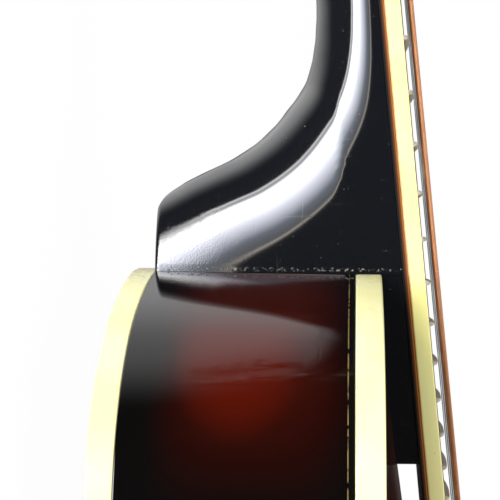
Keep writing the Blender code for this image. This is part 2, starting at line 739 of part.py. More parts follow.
def make_neck():
    far = NUT_Y + NUT_THICKNESS
    stations = [-0.003, 0.008] + [y for y, _ in HEEL_CURVE] + [0.085, 0.120, 0.160, far]
    neck = loft("neck", [neck_section(y) for y in stations], 30)
    place(neck, BODY, "lacquer_black")
    body_room = extruded("body_room", inset(OUTLINE, -SEAT_GAP), -0.08, SEAT_GAP)
    cut(neck, place(body_room, BODY))
    cut(neck, place(support_solid(), BODY), "UNION")
    tenon = extruded("tenon", tenon_shape(0.0), TENON_BOTTOM, -TOP_BINDING_HEIGHT - 2 * SEAT_GAP)
    cut(neck, place(tenon, BODY), "UNION")
    slab = head_solid("headstock_wood", -HEAD_THICKNESS, -OVERLAY_THICKNESS - SEAT_GAP)
    cut(neck, place(slab, HEAD), "UNION")
    board_seat = box(
        "board_seat", (-0.05, 0.10, -BOARD_THICKNESS - SEAT_GAP),
        (0.05, NUT_Y + NUT_THICKNESS + SEAT_GAP, 0.03),
    )
    cut(neck, place(board_seat, NECK))
    rod_room = TRUSS_ROD_RADIUS + SEAT_GAP
    channel = box(
        "rod_channel", (-rod_room, TRUSS_ROD_START - SEAT_GAP, rod_axis_z() - rod_room),
        (rod_room, NUT_Y + 0.035, 0.01),
    )
    cut(neck, place(channel, NECK))
    for x, y in tuner_places():
        low = -HEAD_THICKNESS - CUT_SPARE
        hole = cylinder("post_hole", POST_RADIUS + SEAT_GAP, low, CUT_SPARE, ROUND_SIDES, (x, y))
        cut(neck, place(hole, HEAD))
    overlay = place(
        head_solid("headstock_overlay", -OVERLAY_THICKNESS, 0.0, SEAT_GAP), HEAD, "ebony"
    )
    for x, y in tuner_places():
        hole = cylinder("overlay_hole", POST_RADIUS + SEAT_GAP, -0.01, 0.01, ROUND_SIDES, (x, y))
        cut(overlay, place(hole, HEAD))
    rod_door = box("rod_door", (-rod_room, -0.001, -0.01), (rod_room, 0.036, 0.01))
    cut(overlay, place(rod_door, HEAD))


def support_solid():
    """The part under the fingerboard's free end, fitted to the arch of the top."""
    sections = []
    for i in range(7):
        y = 0.006 - i * (0.006 + SUPPORT_LENGTH) / 6
        half = board_half_width(y) - SUPPORT_INSET
        top = neck_top(y)
        foot = []
        for x in (half, half / 2, 0.0, -half / 2, -half):
            foot.append((x, y, max(top_height(x, min(y, 0.0)), 0.0) + 1.5 * SEAT_GAP))
        sections.append([(-half, y, top), (half, y, top)] + foot)
    return loft("board_support", sections)


def head_solid(name, low_z, high_z, start=None):
    """The headstock's outline between two levels; start trims it at the nut."""
    half = [(x, share * HEAD_LENGTH) for x, share in HEAD_OUTLINE]
    if start is not None:
        half = [(half[0][0], start)] + [point for point in half if point[1] > start]
    outline = half + [(-x, y) for x, y in half[::-1] if x > 0]
    return extruded(name, outline, low_z, high_z, 40)


def rod_axis_z():
    return -BOARD_THICKNESS - 2 * SEAT_GAP - TRUSS_ROD_RADIUS - 0.0004


def make_truss_rod():
    rod = cylinder("truss_rod", TRUSS_ROD_RADIUS, 0.0, NUT_Y - TRUSS_ROD_START, 8)
    place(rod, NECK, "nickel", (0, TRUSS_ROD_START, rod_axis_z()), (-math.pi / 2, 0, 0))
    cover_outline = [(-0.0045, 0.003), (0.0045, 0.003), (0.0085, 0.014), (0.0095, 0.026), (0.0065, 0.036),
                     (0.0, 0.0405), (-0.0065, 0.036), (-0.0095, 0.026), (-0.0085, 0.014)]
    cover = extruded("truss_rod_cover", cover_outline, SEAT_GAP, SEAT_GAP + 0.0015, 40)
    place(cover, HEAD, "black_plastic")


def make_fingerboard():
    inner_start = board_half_width(BOARD_END_Y) - BOARD_BINDING_WALL - SEAT_GAP
    inner_nut = board_half_width(NUT_Y) - BOARD_BINDING_WALL - SEAT_GAP
    full_start = board_half_width(BOARD_END_Y)
    full_nut = board_half_width(NUT_Y)
    low = -BOARD_THICKNESS
    step = low + BOARD_BINDING_DROP
    sections = []
    for y, inner, full in ((BOARD_END_Y, inner_start, full_start), (NUT_Y, inner_nut, full_nut)):
        sections.append([
            (-full, y, low), (full, y, low), (full, y, step), (inner, y, step),
            (inner, y, 0.0), (-inner, y, 0.0), (-inner, y, step), (-full, y, step),
        ])
    board = place(loft("fingerboard", sections), NECK, "rosewood")
    for fret in range(1, FRET_COUNT + 1):
        y = NUT_Y - SCALE_LENGTH * (1 - 2 ** (-fret / 12))
        half = board_half_width(y) - 0.0002
        crown = [
            (-half, y - FRET_WIDTH / 2), (half, y - FRET_WIDTH / 2),
            (half, y + FRET_WIDTH / 2), (-half, y + FRET_WIDTH / 2),
        ]
        wire = extruded(f"fret_{fret}", crown, 0.0, FRET_HEIGHT)
        root = extruded(
            f"fret_root_{fret}",
            [(math.copysign(inner_nut - 0.0005, x), yy) for x, yy in crown], -0.0008, 0.0005,
        )
        cut(board, place(root, NECK), "UNION")
        cut(board, place(wire, NECK), "UNION")

    wall = BOARD_BINDING_WALL
    low = step + SEAT_GAP
    high = -SEAT_GAP
    end_y = BOARD_END_Y
    half_end = board_half_width(end_y)
    half_nut = board_half_width(NUT_Y)
    u_shape = [
        (-half_nut, NUT_Y), (-half_end, end_y - SEAT_GAP - wall), (half_end, end_y - SEAT_GAP - wall),
        (half_nut, NUT_Y), (half_nut - wall, NUT_Y), (half_end - wall, end_y - SEAT_GAP),
        (-half_end + wall, end_y - SEAT_GAP), (-half_nut + wall, NUT_Y),
    ]
    place(extruded("fingerboard_binding", u_shape, low, high), NECK, "ivory_binding")
    nut_low = -BOARD_THICKNESS
    nut_block = box(
        "nut", (-NUT_HALF_WIDTH, NUT_Y + SEAT_GAP, nut_low),
        (NUT_HALF_WIDTH, NUT_Y + NUT_THICKNESS, ACTION_AT_NUT - SEAT_GAP),
    )
    place(nut_block, NECK, "bone")


# Tuners
def tuner_places():
    return [(side * TUNER_X, TUNER_FIRST_Y + i * TUNER_SPACING) for side in (-1, 1) for i in range(4)]


def gear_section(z):
    """Trapezoid teeth, thinner than half the pitch, turned to follow the thread's lead."""
    tip = GEAR_PITCH_RADIUS + TOOTH_HEIGHT / 2 - MESH_CLEARANCE / 2
    root = GEAR_PITCH_RADIUS - TOOTH_HEIGHT / 2 - MESH_CLEARANCE
    section = []
    pitch_angle = 2 * math.pi / GEAR_TEETH
    twist = (z - GEAR_MID_Z) * THREAD_PITCH / (2 * math.pi * WORM_PITCH_RADIUS * GEAR_PITCH_RADIUS)
    for tooth in range(GEAR_TEETH):
        middle = -math.pi / 2 + tooth * pitch_angle + twist
        for radius, share in ((root, -TOOTH_ROOT_SHARE), (tip, -TOOTH_TIP_SHARE), (tip, TOOTH_TIP_SHARE),
                              (root, TOOTH_ROOT_SHARE)):
            angle = middle + share * pitch_angle
            section.append((radius * math.cos(angle), radius * math.sin(angle), z))
    return section


def make_post_mesh():
    waist_low = WRAP_START - 0.0010
    waist_high = WRAP_START + 0.0052
    top = POST_STANDING
    head_z = GEAR_MID_Z - GEAR_THICKNESS / 2 - 0.0012
    profile = [
        (0.0, top), (POST_RADIUS, top - 0.0004), (POST_RADIUS, waist_high + 0.0006),
        (POST_WAIST_RADIUS, waist_high), (POST_WAIST_RADIUS, waist_low), (POST_RADIUS, waist_low - 0.0006),
        (POST_SCREW_RADIUS, head_z), (0.0, head_z),
    ]
    post = place(turned("post_turning", profile, ROUND_SIDES), HEAD)
    faces_at = (GEAR_MID_Z - GEAR_THICKNESS / 2, GEAR_MID_Z + GEAR_THICKNESS / 2)
    wheel = loft("gear_wheel", [gear_section(z) for z in faces_at])
    cut(post, place(wheel, HEAD), "UNION")
    return baked_mesh(post, "tuner_post")


def worm_mesh_object():
    """A thread as a height field on a cylinder about X: one row of points per part of a turn."""
    crest = WORM_PITCH_RADIUS + TOOTH_HEIGHT / 2 - MESH_CLEARANCE / 2
    root = WORM_PITCH_RADIUS - TOOTH_HEIGHT / 2 - MESH_CLEARANCE
    rows = int(round(WORM_LENGTH / THREAD_PITCH * WORM_SIDES))
    points = [(-rows * THREAD_PITCH / WORM_SIDES / 2, 0.0, 0.0)]
    for row in range(rows + 1):
        for column in range(WORM_SIDES):
            phase = (row - column - rows // 2) % WORM_SIDES
            share = min(phase, WORM_SIDES - phase) / (WORM_SIDES / 2)
            radius = root + (crest - root) * min(1.0, max(0.0, (share - 0.30) / 0.40))
            angle = 2 * math.pi * column / WORM_SIDES
            x = (row - rows / 2) * THREAD_PITCH / WORM_SIDES
            points.append((x, radius * math.cos(angle), radius * math.sin(angle)))
    points.append((rows * THREAD_PITCH / WORM_SIDES / 2, 0.0, 0.0))
    faces = []
    for column in range(WORM_SIDES):
        after = (column + 1) % WORM_SIDES
        faces.append((0, 1 + column, 1 + after))
        last = 1 + rows * WORM_SIDES
        faces.append((len(points) - 1, last + after, last + column))
        for row in range(rows):
            a = 1 + row * WORM_SIDES + column
            b = 1 + row * WORM_SIDES + after
            c = a + WORM_SIDES
            d = b + WORM_SIDES
            faces += [(a, c, d), (a, d, b)]
    return bpy.data.objects.new("worm_thread", mesh_from("worm_thread", points, faces))


def button_section(x, scale):
    steps = 8
    return [
        (x, scale * BUTTON_HALF_THICKNESS * math.cos(2 * math.pi * i / steps),
         scale * BUTTON_HALF_HEIGHT * math.sin(2 * math.pi * i / steps))
        for i in range(steps)
    ]


def make_shaft_mesh():
    """Worm, shaft and button, along X, with its origin at the middle of the worm."""
    inner = -WORM_LENGTH / 2 - SEAT_GAP - EAR_THICKNESS - 0.0008
    worm = place(worm_mesh_object(), HEAD)
    shaft = cylinder("worm_shaft", SHAFT_RADIUS, inner, SHAFT_REACH + 0.002, 8)
    cut(worm, place(shaft, HEAD, None, (0, 0, 0), (0, math.pi / 2, 0)), "UNION")
    start = SHAFT_REACH
    stations = ((0.0, 0.45), (0.16, 0.84), (0.50, 1.0), (0.86, 0.86), (1.0, 0.50))
    button = loft("button", [button_section(start + t * BUTTON_LENGTH, scale) for t, scale in stations])
    cut(worm, place(button, HEAD), "UNION")
    return baked_mesh(worm, "worm_shaft")


def make_tuners():
    post_mesh = make_post_mesh()
    shaft_mesh = make_shaft_mesh()
    for label, side in (("bass", -1), ("treble", 1)):
        outer_y = TUNER_SPACING * 3
        plate_front = PLATE_BACK + PLATE_THICKNESS
        plate = box(
            f"tuner_plate_{label}",
            (side * TUNER_X - PLATE_HALF_WIDTH, TUNER_FIRST_Y - WORM_OFFSET - 0.006, PLATE_BACK),
            (side * TUNER_X + PLATE_HALF_WIDTH, TUNER_FIRST_Y + outer_y + 0.009, plate_front),
        )
        place(plate, HEAD, "nickel")
        for i in range(4):
            x = side * TUNER_X
            y = TUNER_FIRST_Y + i * TUNER_SPACING
            post = bpy.data.objects.new(f"string_post_{label}_{i + 1}", post_mesh)
            place(post, HEAD, None, (x, y, 0))
            shaft = bpy.data.objects.new(f"tuner_shaft_{label}_{i + 1}", shaft_mesh)
            turn = (0, math.pi, 0) if side < 0 else (0, 0, 0)
            place(shaft, HEAD, None, (x, y - WORM_OFFSET, GEAR_MID_Z), turn)
            for piece in (post, shaft):
                CUTTERS.objects.unlink(piece)
                PARTS.objects.link(piece)
                piece.hide_render = False
                piece.display_type = "TEXTURED"
            hole = cylinder(
                "plate_hole", POST_RADIUS + SEAT_GAP, PLATE_BACK - CUT_SPARE, plate_front + CUT_SPARE,
                ROUND_SIDES, (x, y),
            )
            cut(plate, place(hole, HEAD))
            for end in (-1, 1):
                inner = x + end * (WORM_LENGTH / 2 + SEAT_GAP + EAR_THICKNESS / 2)
                middle = y - WORM_OFFSET
                half = EAR_THICKNESS / 2
                ear = box(
                    "ear",
                    (inner - half, middle - EAR_HALF_WIDTH, GEAR_MID_Z - EAR_UNDER_SHAFT),
                    (inner + half, y - EAR_TO_POST, PLATE_BACK + PLATE_THICKNESS / 2),
                )
                cut(plate, place(ear, HEAD), "UNION")
                bearing = cylinder("ear_hole", SHAFT_RADIUS + SEAT_GAP, -EAR_THICKNESS, EAR_THICKNESS, 8)
                place(bearing, HEAD, None, (inner, middle, GEAR_MID_Z), (0, math.pi / 2, 0))
                cut(plate, bearing)
    post_mesh.materials.clear()
    post_mesh.materials.append(PAINT["nickel"])
    shaft_mesh.materials.clear()
    shaft_mesh.materials.append(PAINT["cream_plastic"])


# Bridge
def neck_point(x, y, z):
    """A point of the neck frame in the body frame."""
    return Vector((
        x, y * math.cos(TILT) + z * math.sin(TILT), BOARD_Z - y * math.sin(TILT) + z * math.cos(TILT)
    ))


def head_point(x, y, z):
    """A point of the head frame in the body frame."""
    turned_point = Matrix.Rotation(-HEAD_ANGLE, 3, "X") @ Vector((x, y, z))
    return neck_point(*(turned_point + Vector((0, NUT_Y + NUT_THICKNESS + SEAT_GAP, -HEAD_DROP))))


def action_height(y):
    """Height of the strings' undersides over the fingerboard, in the neck frame."""
    return ACTION_AT_JOINT + (ACTION_AT_NUT - ACTION_AT_JOINT) * y / NUT_Y


SADDLE_POINT = neck_point(0, BRIDGE_LOCAL_Y, action_height(BRIDGE_LOCAL_Y))
BRIDGE_Y = SADDLE_POINT.y
SADDLE_TOP = SADDLE_POINT.z - SEAT_GAP
BASE_TOP = top_height(0, BRIDGE_Y) + BRIDGE_BASE_HEIGHT
WHEEL_BOTTOM = BASE_TOP + WHEEL_LIFT
SADDLE_BOTTOM = WHEEL_BOTTOM + WHEEL_THICKNESS + SEAT_GAP


def make_bridge():
    sections = []
    steps = 12
    for i in range(steps + 1):
        t = 2 * i / steps - 1
        x = t * BRIDGE_HALF_LENGTH
        depth = BRIDGE_HALF_DEPTH * (1 - 0.35 * t ** 6)
        foot_front = top_height(x, BRIDGE_Y + depth) + 1.5 * SEAT_GAP
        foot_back = top_height(x, BRIDGE_Y - depth) + 1.5 * SEAT_GAP
        middle = abs(t) < 0.62
        top = BASE_TOP if middle else max(foot_front, foot_back) + 0.0024
        sections.append([
            (x, BRIDGE_Y - depth, foot_back), (x, BRIDGE_Y + depth, foot_front),
            (x, BRIDGE_Y + depth * 0.7, top), (x, BRIDGE_Y - depth * 0.7, top),
        ])
    base = place(loft("bridge_base", sections, 30), BODY, "ebony")
    stud_top = SADDLE_BOTTOM + STUD_INTO_SADDLE
    back = BRIDGE_Y - SADDLE_HALF_DEPTH
    front = BRIDGE_Y + SADDLE_HALF_DEPTH
    sections = []
    for reach, share in ((-1.0, 0.55), (-0.72, 1.0), (0.72, 1.0), (1.0, 0.55)):
        x = reach * SADDLE_HALF_LENGTH
        height = (SADDLE_TOP - SADDLE_BOTTOM) * share
        top = SADDLE_BOTTOM + height
        shoulder = SADDLE_BOTTOM + height * 0.55
        sections.append([
            (x, back, SADDLE_BOTTOM), (x, front, SADDLE_BOTTOM), (x, front, shoulder),
            (x, BRIDGE_Y + SADDLE_CREST_HALF, top), (x, BRIDGE_Y - SADDLE_CREST_HALF, top),
            (x, back, shoulder),
        ])
    saddle = place(loft("bridge_saddle", sections, 30), BODY, "ebony")
    for side, label in ((-1, "bass"), (1, "treble")):
        x = side * STUD_X
        stud = cylinder(f"stud_{label}", STUD_RADIUS, BASE_TOP - 0.002, stud_top, 10, (x, BRIDGE_Y))
        cut(base, place(stud, BODY), "UNION")
        hole = cylinder(
            f"stud_hole_{label}", STUD_RADIUS + SEAT_GAP, SADDLE_BOTTOM - 0.001, stud_top + STUD_HOLE_SPARE,
            12, (x, BRIDGE_Y),
        )
        cut(saddle, place(hole, BODY))
        outline = []
        teeth = 14
        for i in range(teeth * 2):
            radius = WHEEL_RADIUS if i % 2 == 0 else WHEEL_RADIUS - 0.0005
            angle = math.pi * i / teeth
            outline.append((radius * math.cos(angle), radius * math.sin(angle)))
        wheel = extruded(f"thumbwheel_{label}", outline, 0.0, WHEEL_THICKNESS)
        place(wheel, BODY, "nickel", (x, BRIDGE_Y, WHEEL_BOTTOM))
        bore = cylinder(f"wheel_bore_{label}", STUD_RADIUS + SEAT_GAP, -0.001, WHEEL_THICKNESS + 0.001, 12)
        cut(wheel, place(bore, BODY, None, (x, BRIDGE_Y, WHEEL_BOTTOM)))


# Tailpiece
def hook_places():
    """Where each string hooks on: the two strings of a pair on two rows."""
    places = {}
    for note in STRING_RADII:
        for half, sign, further in (("1", -1, 0.0), ("2", 1, HOOK_ROW_STEP)):
            x = BRIDGE_PAIR_X[note] * 0.80 + sign * HOOK_PAIR_HALF_GAP
            y = TAIL_Y + HOOK_ROW_INSET + further
            places[f"{note}_{half}"] = Vector((x, y, tailpiece_top(y)))
    return places


def tailpiece_top(y):
    """Height of the sheet's upper side, which climbs with the arch of the top."""
    climb = top_height(0, TAIL_Y + TAILPIECE_REACH)
    return TAILPIECE_LIFT + TAILPIECE_SHEET + climb * (y - TAIL_Y) / TAILPIECE_REACH


def make_tailpiece():
    half = TAILPIECE_HALF_WIDTH
    front = TAIL_Y + TAILPIECE_REACH
    outside = TAIL_Y - SEAT_GAP
    sheet = TAILPIECE_SHEET
    lift = TAILPIECE_LIFT
    front_top = tailpiece_top(front)
    profile = [
        (front, front_top - sheet), (front, front_top), (outside - sheet * 0.2, lift + sheet),
        (outside - sheet, lift + sheet * 0.2), (outside - sheet, -TAILPIECE_DROP),
        (outside, -TAILPIECE_DROP), (outside, lift),
    ]
    sections = [[(x, y, z) for y, z in profile] for x in (-half, half)]
    tailpiece = place(loft("tailpiece", sections, 30), BODY, "nickel")
    for name, spot in hook_places().items():
        low = spot.z - sheet / 2
        hook = cylinder(f"hook_{name}", HOOK_RADIUS, low, spot.z + HOOK_HEIGHT, 8, (spot.x, spot.y))
        cut(tailpiece, place(hook, BODY), "UNION")
    foot_y = front - 0.0035
    foot = box(
        "tailpiece_foot", (-half * 0.8, foot_y, top_height(0, front) + 1.5 * SEAT_GAP),
        (half * 0.8, front - 0.0005, front_top - sheet / 2),
    )
    cut(tailpiece, place(foot, BODY), "UNION")
    button_room = cylinder("button_room", STRAP_SCREW_RADIUS + SEAT_GAP, -0.01, 0.01, 12)
    cut(tailpiece, place(button_room, BODY, None, (0, outside, strap_button_z()), (math.pi / 2, 0, 0)))

    back = TAIL_Y + 0.0005
    outer = cover_arc(half, COVER_HEIGHT)
    inner = cover_arc(half - COVER_WALL, COVER_HEIGHT - COVER_WALL)[::-1]
    sections = [cover_section(outer + inner, y) for y in (back, back + COVER_LENGTH)]
    cover = loft("tailpiece_cover", sections, 50)
    place(cover, BODY, "nickel")
    end_wall = loft("cover_end", [cover_section(outer, y) for y in (back, back + COVER_WALL)], 50)
    cut(cover, place(end_wall, BODY), "UNION")


def cover_arc(half, height):
    """Half width and height of the cover's section, from side to side, with rounded shoulders."""
    arc = [(-half, 0.0)]
    for i in range(9):
        angle = math.pi * (1 - i / 8)
        x = math.copysign(abs(math.cos(angle)) ** 0.45, math.cos(angle))
        arc.append((half * x, height * (0.45 + 0.55 * math.sin(angle) ** 0.6)))
    return arc + [(half, 0.0)]


def cover_section(shape, y):
    base = tailpiece_top(y) + SEAT_GAP
    return [(x, y, base + z) for x, z in shape]


def strap_button_z():
    return -BODY_DEPTH / 2


def screw_cutter(name):
    """Room for the strap button's screw through the tail."""
    hole = cylinder(name, STRAP_SCREW_RADIUS + SEAT_GAP, -STRAP_SCREW_LENGTH - SEAT_GAP, 0.01, 10)
    return place(hole, BODY, None, (0, TAIL_Y - SEAT_GAP, strap_button_z()), (math.pi / 2, 0, 0))


def make_strap_button():
    length = STRAP_BUTTON_LENGTH
    radius = STRAP_BUTTON_RADIUS
    profile = [
        (0.0, length), (radius * 0.86, length), (radius, length - 0.0012), (radius, length - 0.0032),
        (radius * 0.55, length - 0.0058), (radius * 0.60, 0.0030 + TAILPIECE_SHEET),
        (radius, 0.0006 + TAILPIECE_SHEET), (radius, TAILPIECE_SHEET + SEAT_GAP),
        (STRAP_SCREW_RADIUS, TAILPIECE_SHEET + SEAT_GAP), (STRAP_SCREW_RADIUS, -STRAP_SCREW_LENGTH),
        (0.0, -STRAP_SCREW_LENGTH),
    ]
    button = turned("strap_button", profile, 16)
    place(button, BODY, "nickel", (0, TAIL_Y - SEAT_GAP, strap_button_z()), (math.pi / 2, 0, 0))


# Strings
def wrap_height(turns, radius):
    return WRAP_START + radius + turns * (2 * radius + WRAP_GAP)


def string_points(name, tuner, side):
    """From the wraps on the post over the nut and the bridge to the loop on its hook."""
    note = name[0]
    radius = STRING_RADII[note]
    sign = -1 if name.endswith("1") else 1
    nut_x = NUT_PAIR_X[note] + sign * NUT_PAIR_HALF_GAP
    bridge_x = BRIDGE_PAIR_X[note] + sign * BRIDGE_PAIR_HALF_GAP
    post_x = side * TUNER_X
    post_y = TUNER_FIRST_Y + tuner * TUNER_SPACING
    reach = POST_WAIST_RADIUS + SEAT_GAP + radius
    nut_front = Vector((nut_x, -0.0012, 0.0))
    leave = Vector((nut_x - post_x, nut_front.y - post_y))
    bearing = math.atan2(leave.y, leave.x)
    start_angle = bearing - side * math.acos(reach / leave.length)
    points = []
    count = int(WRAP_TURNS * WRAP_POINTS)
    for i in range(count, -1, -1):
        turns = i / WRAP_POINTS
        angle = start_angle - side * 2 * math.pi * turns
        swell = reach / math.cos(math.pi / WRAP_POINTS) if i else reach
        points.append(head_point(
            post_x + swell * math.cos(angle), post_y + swell * math.sin(angle), wrap_height(turns, radius)
        ))
    nut_z = ACTION_AT_NUT + radius
    points.append(neck_point(nut_x, NUT_Y + NUT_THICKNESS, nut_z))
    points.append(neck_point(nut_x, NUT_Y, nut_z))
    saddle = neck_point(bridge_x, BRIDGE_LOCAL_Y, action_height(BRIDGE_LOCAL_Y) + radius)
    points.append(saddle + Vector((0, SADDLE_CREST_HALF, 0)))
    points.append(saddle + Vector((0, -SADDLE_CREST_HALF, 0)))
    hook = hook_places()[name]
    loop = HOOK_RADIUS + SEAT_GAP + radius
    height = hook.z + 0.0010 + radius
    points.append(Vector((hook.x + loop * 0.3, hook.y + 3.2 * loop, height + 0.0002)))
    for i in range(6):
        angle = math.radians(40 - 50 * i)
        points.append(Vector((hook.x + loop * math.cos(angle), hook.y + loop * math.sin(angle), height)))
    return points


def least_wrap_gap():
    """Least clear space between neighbouring turns on a post, measured on their points."""
    least = 1.0
    per_turn = 40
    turns = np.arange(int(WRAP_TURNS * per_turn) + 1) / per_turn
    for radius in STRING_RADII.values():
        reach = POST_WAIST_RADIUS + SEAT_GAP + radius
        angle = 2 * math.pi * turns
        height = wrap_height(turns, radius)
        points = np.column_stack((reach * np.cos(angle), reach * np.sin(angle), height))
        for k in range(3 * per_turn // 4, len(points)):
            earlier = points[:k - 3 * per_turn // 4 + 1]
            distance = np.linalg.norm(points[k] - earlier, axis=1).min()
            least = min(least, distance - 2 * radius)
    return least


def make_strings():
    """From bass to treble, the strings go up the bass row of posts and down the treble row."""
    names = [f"{note}_{half}" for note in STRING_RADII for half in ("1", "2")]
    row = len(names) // 2
    for i, name in enumerate(names):
        note = name[0]
        side = -1 if i < row else 1
        tuner = min(i, len(names) - 1 - i)
        material = "wound_bronze" if note in "gd" else "plain_steel"
        tube(f"string_{name}", string_points(name, tuner, side), STRING_RADII[note], BODY, material)
    print("least gap between turns on a post, mm:", round(least_wrap_gap() * 1000, 3))


# Electric parts
def string_plane(y):
    """Height of the strings' undersides in the body frame."""
    slope = (action_height(0) - action_height(NUT_Y)) / NUT_Y
    return BOARD_Z + action_height(0) - y * (math.tan(TILT) + slope)


def make_pickup():
    front = PICKUP_FRONT_Y
    back = front - PICKUP_WIDTH
    half = PICKUP_HALF_LENGTH
    top = string_plane(front) - PICKUP_STRING_GAP
    wall = PICKUP_COVER_WALL

    def prism(name, inset_by, top_z, foot_gap):
        sections = []
        steps = 8
        for i in range(steps + 1):
            x = (half - inset_by) * (2 * i / steps - 1)
            corner = 0.0025 if i in (0, steps) else 0.0
            y_low = back + inset_by + corner
            y_high = front - inset_by - corner
            foot_low = top_height(x, y_low) + foot_gap
            foot_high = top_height(x, y_high) + foot_gap
            sections.append([
                (x, y_low, foot_low), (x, y_high, foot_high), (x, y_high, top_z), (x, y_low, top_z),
            ])
        return loft(name, sections, 40)

    cover = place(prism("pickup_cover", 0.0, top, 2 * SEAT_GAP), BODY, "black_plastic")
    inside = prism("pickup_room", wall, top - wall, -0.01)
    cut(cover, place(inside, BODY))
    coil = box(
        "pickup",
        (-half + wall + COIL_MARGIN, back + wall + COIL_MARGIN, top - wall - SEAT_GAP - COIL_DEPTH),
        (half - wall - COIL_MARGIN, front - wall - COIL_MARGIN, top - wall - SEAT_GAP),
    )
    place(coil, BODY, "black_plastic")
    middle_y = (front + back) / 2
    for note in STRING_RADII:
        share = (BRIDGE_LOCAL_Y - middle_y) / (BRIDGE_LOCAL_Y - NUT_Y)
        x = BRIDGE_PAIR_X[note] + (NUT_PAIR_X[note] - BRIDGE_PAIR_X[note]) * share
        at = (x, middle_y)
        hole_radius = POLE_RADIUS + SEAT_GAP
        hole = cylinder(f"pole_hole_{note}", hole_radius, top - 2 * wall, top + CUT_SPARE, 12, at)
        cut(cover, place(hole, BODY))
        pole = cylinder(f"pole_{note}", POLE_RADIUS, top - COIL_DEPTH / 2, top + POLE_PROUD, 12, at)
        cut(coil, place(pole, BODY), "UNION")


def control_frame(name, spot):
    """An empty on the top's surface, its Z along the surface's normal."""
    x, y = spot
    normal = top_normal(x, y)
    turn = Vector((0, 0, 1)).rotation_difference(normal).to_euler()
    return add_empty(name, (x, y, top_height(x, y)), turn, BODY)


def pot_seat(spot):
    """Depth below the top's surface, along its normal, where a pot's case clears the underside."""
    x, y = spot
    normal = top_normal(x, y)
    origin = Vector((x, y, top_height(x, y)))
    deepest = 0.0
    for i in range(12):
        angle = math.pi * i / 6
        px = x + POT_RADIUS * math.cos(angle)
        py = y + POT_RADIUS * math.sin(angle)
        deepest = min(deepest, (Vector((px, py, under_top_height(px, py))) - origin).dot(normal))
    return deepest


def make_controls():
    top = bpy.data.objects["top_plate"]
    for label, spot in (("volume", VOLUME_PLACE), ("tone", TONE_PLACE)):
        frame = control_frame(f"{label}_frame", spot)
        hole = cylinder(f"{label}_hole", BUSHING_RADIUS + SEAT_GAP, -0.012, 0.01, 12)
        cut(top, place(hole, frame))
        case_top = pot_seat(spot) - 1.5 * SEAT_GAP
        nut = BUSHING_RADIUS + 0.0020
        profile = [
            (0.0, BUSHING_PROUD), (BUSHING_RADIUS, BUSHING_PROUD), (BUSHING_RADIUS, 0.0030), (nut, 0.0030),
            (nut, 0.0008), (BUSHING_RADIUS, 0.0008), (BUSHING_RADIUS, case_top), (POT_RADIUS, case_top),
            (POT_RADIUS, case_top - POT_HEIGHT), (0.0, case_top - POT_HEIGHT),
        ]
        pot = place(turned(f"{label}_pot", profile, 16), frame, "nickel")
        bore_radius = CONTROL_SHAFT_RADIUS + SEAT_GAP
        bore_low = case_top - POT_HEIGHT / 2
        bore = cylinder(f"{label}_pot_bore", bore_radius, bore_low, BUSHING_PROUD + CUT_SPARE, 12)
        cut(pot, place(bore, frame))
        shaft_top = BUSHING_PROUD + CONTROL_SHAFT_PROUD
        shaft = cylinder(f"{label}_shaft", CONTROL_SHAFT_RADIUS, bore_low + 2 * SEAT_GAP, shaft_top, 12)
        place(shaft, frame, "nickel")
        low = KNOB_LIFT
        high = low + KNOB_HEIGHT
        knob_profile = [
            (0.0, high), (KNOB_TOP_RADIUS - 0.0008, high), (KNOB_TOP_RADIUS, high - 0.0008),
            (KNOB_TOP_RADIUS, low + 0.0045), (KNOB_RADIUS, low + 0.0020), (KNOB_RADIUS, low), (0.0, low),
        ]
        knob = place(turned(f"{label}_knob", knob_profile, 20), frame, "black_plastic")
        socket = cylinder(f"{label}_socket", bore_radius, low - CUT_SPARE, shaft_top + SEAT_GAP, 12)
        cut(knob, place(socket, frame))


def jack_spot():
    """The widest point of the treble side, at half the body's depth."""
    widest = max(OUTLINE)
    return Vector((widest[0], widest[1], -BODY_DEPTH / 2))


def jack_cutter(name):
    cutter = cylinder(name, JACK_BARREL_RADIUS + SEAT_GAP, -0.02, 0.02, 16)
    return place(cutter, BODY, None, jack_spot(), (0, math.pi / 2, 0))


def make_jack():
    spot = jack_spot()
    turn = (0, math.pi / 2, 0)
    washer = JACK_NUT_RADIUS + 0.0015
    inner_nut = JACK_NUT_RADIUS * 0.9
    inner_end = -RIM_WALL - JACK_INNER_LENGTH
    profile = [
        (0.0, JACK_NUT_THICKNESS + 0.0010), (JACK_BARREL_RADIUS, JACK_NUT_THICKNESS + 0.0010),
        (JACK_BARREL_RADIUS, JACK_NUT_THICKNESS), (JACK_NUT_RADIUS, JACK_NUT_THICKNESS),
        (JACK_NUT_RADIUS, 0.0010), (washer, 0.0010), (washer, SEAT_GAP),
        (JACK_BARREL_RADIUS, SEAT_GAP), (JACK_BARREL_RADIUS, -RIM_WALL - JACK_SHOULDER_GAP),
        (inner_nut, -RIM_WALL - JACK_SHOULDER_GAP), (inner_nut, inner_end), (0.0, inner_end),
    ]
    jack = place(turned("output_jack", profile, 14), BODY, "nickel", spot, turn)
    bore = cylinder("jack_bore", JACK_BORE_RADIUS, inner_end + 0.0015, 0.01, 12)
    cut(jack, place(bore, BODY, None, spot, turn))


make_body()
make_neck()
make_truss_rod()
make_fingerboard()
make_tuners()
make_bridge()
make_tailpiece()
make_strap_button()
make_strings()
make_pickup()
make_controls()
make_jack()


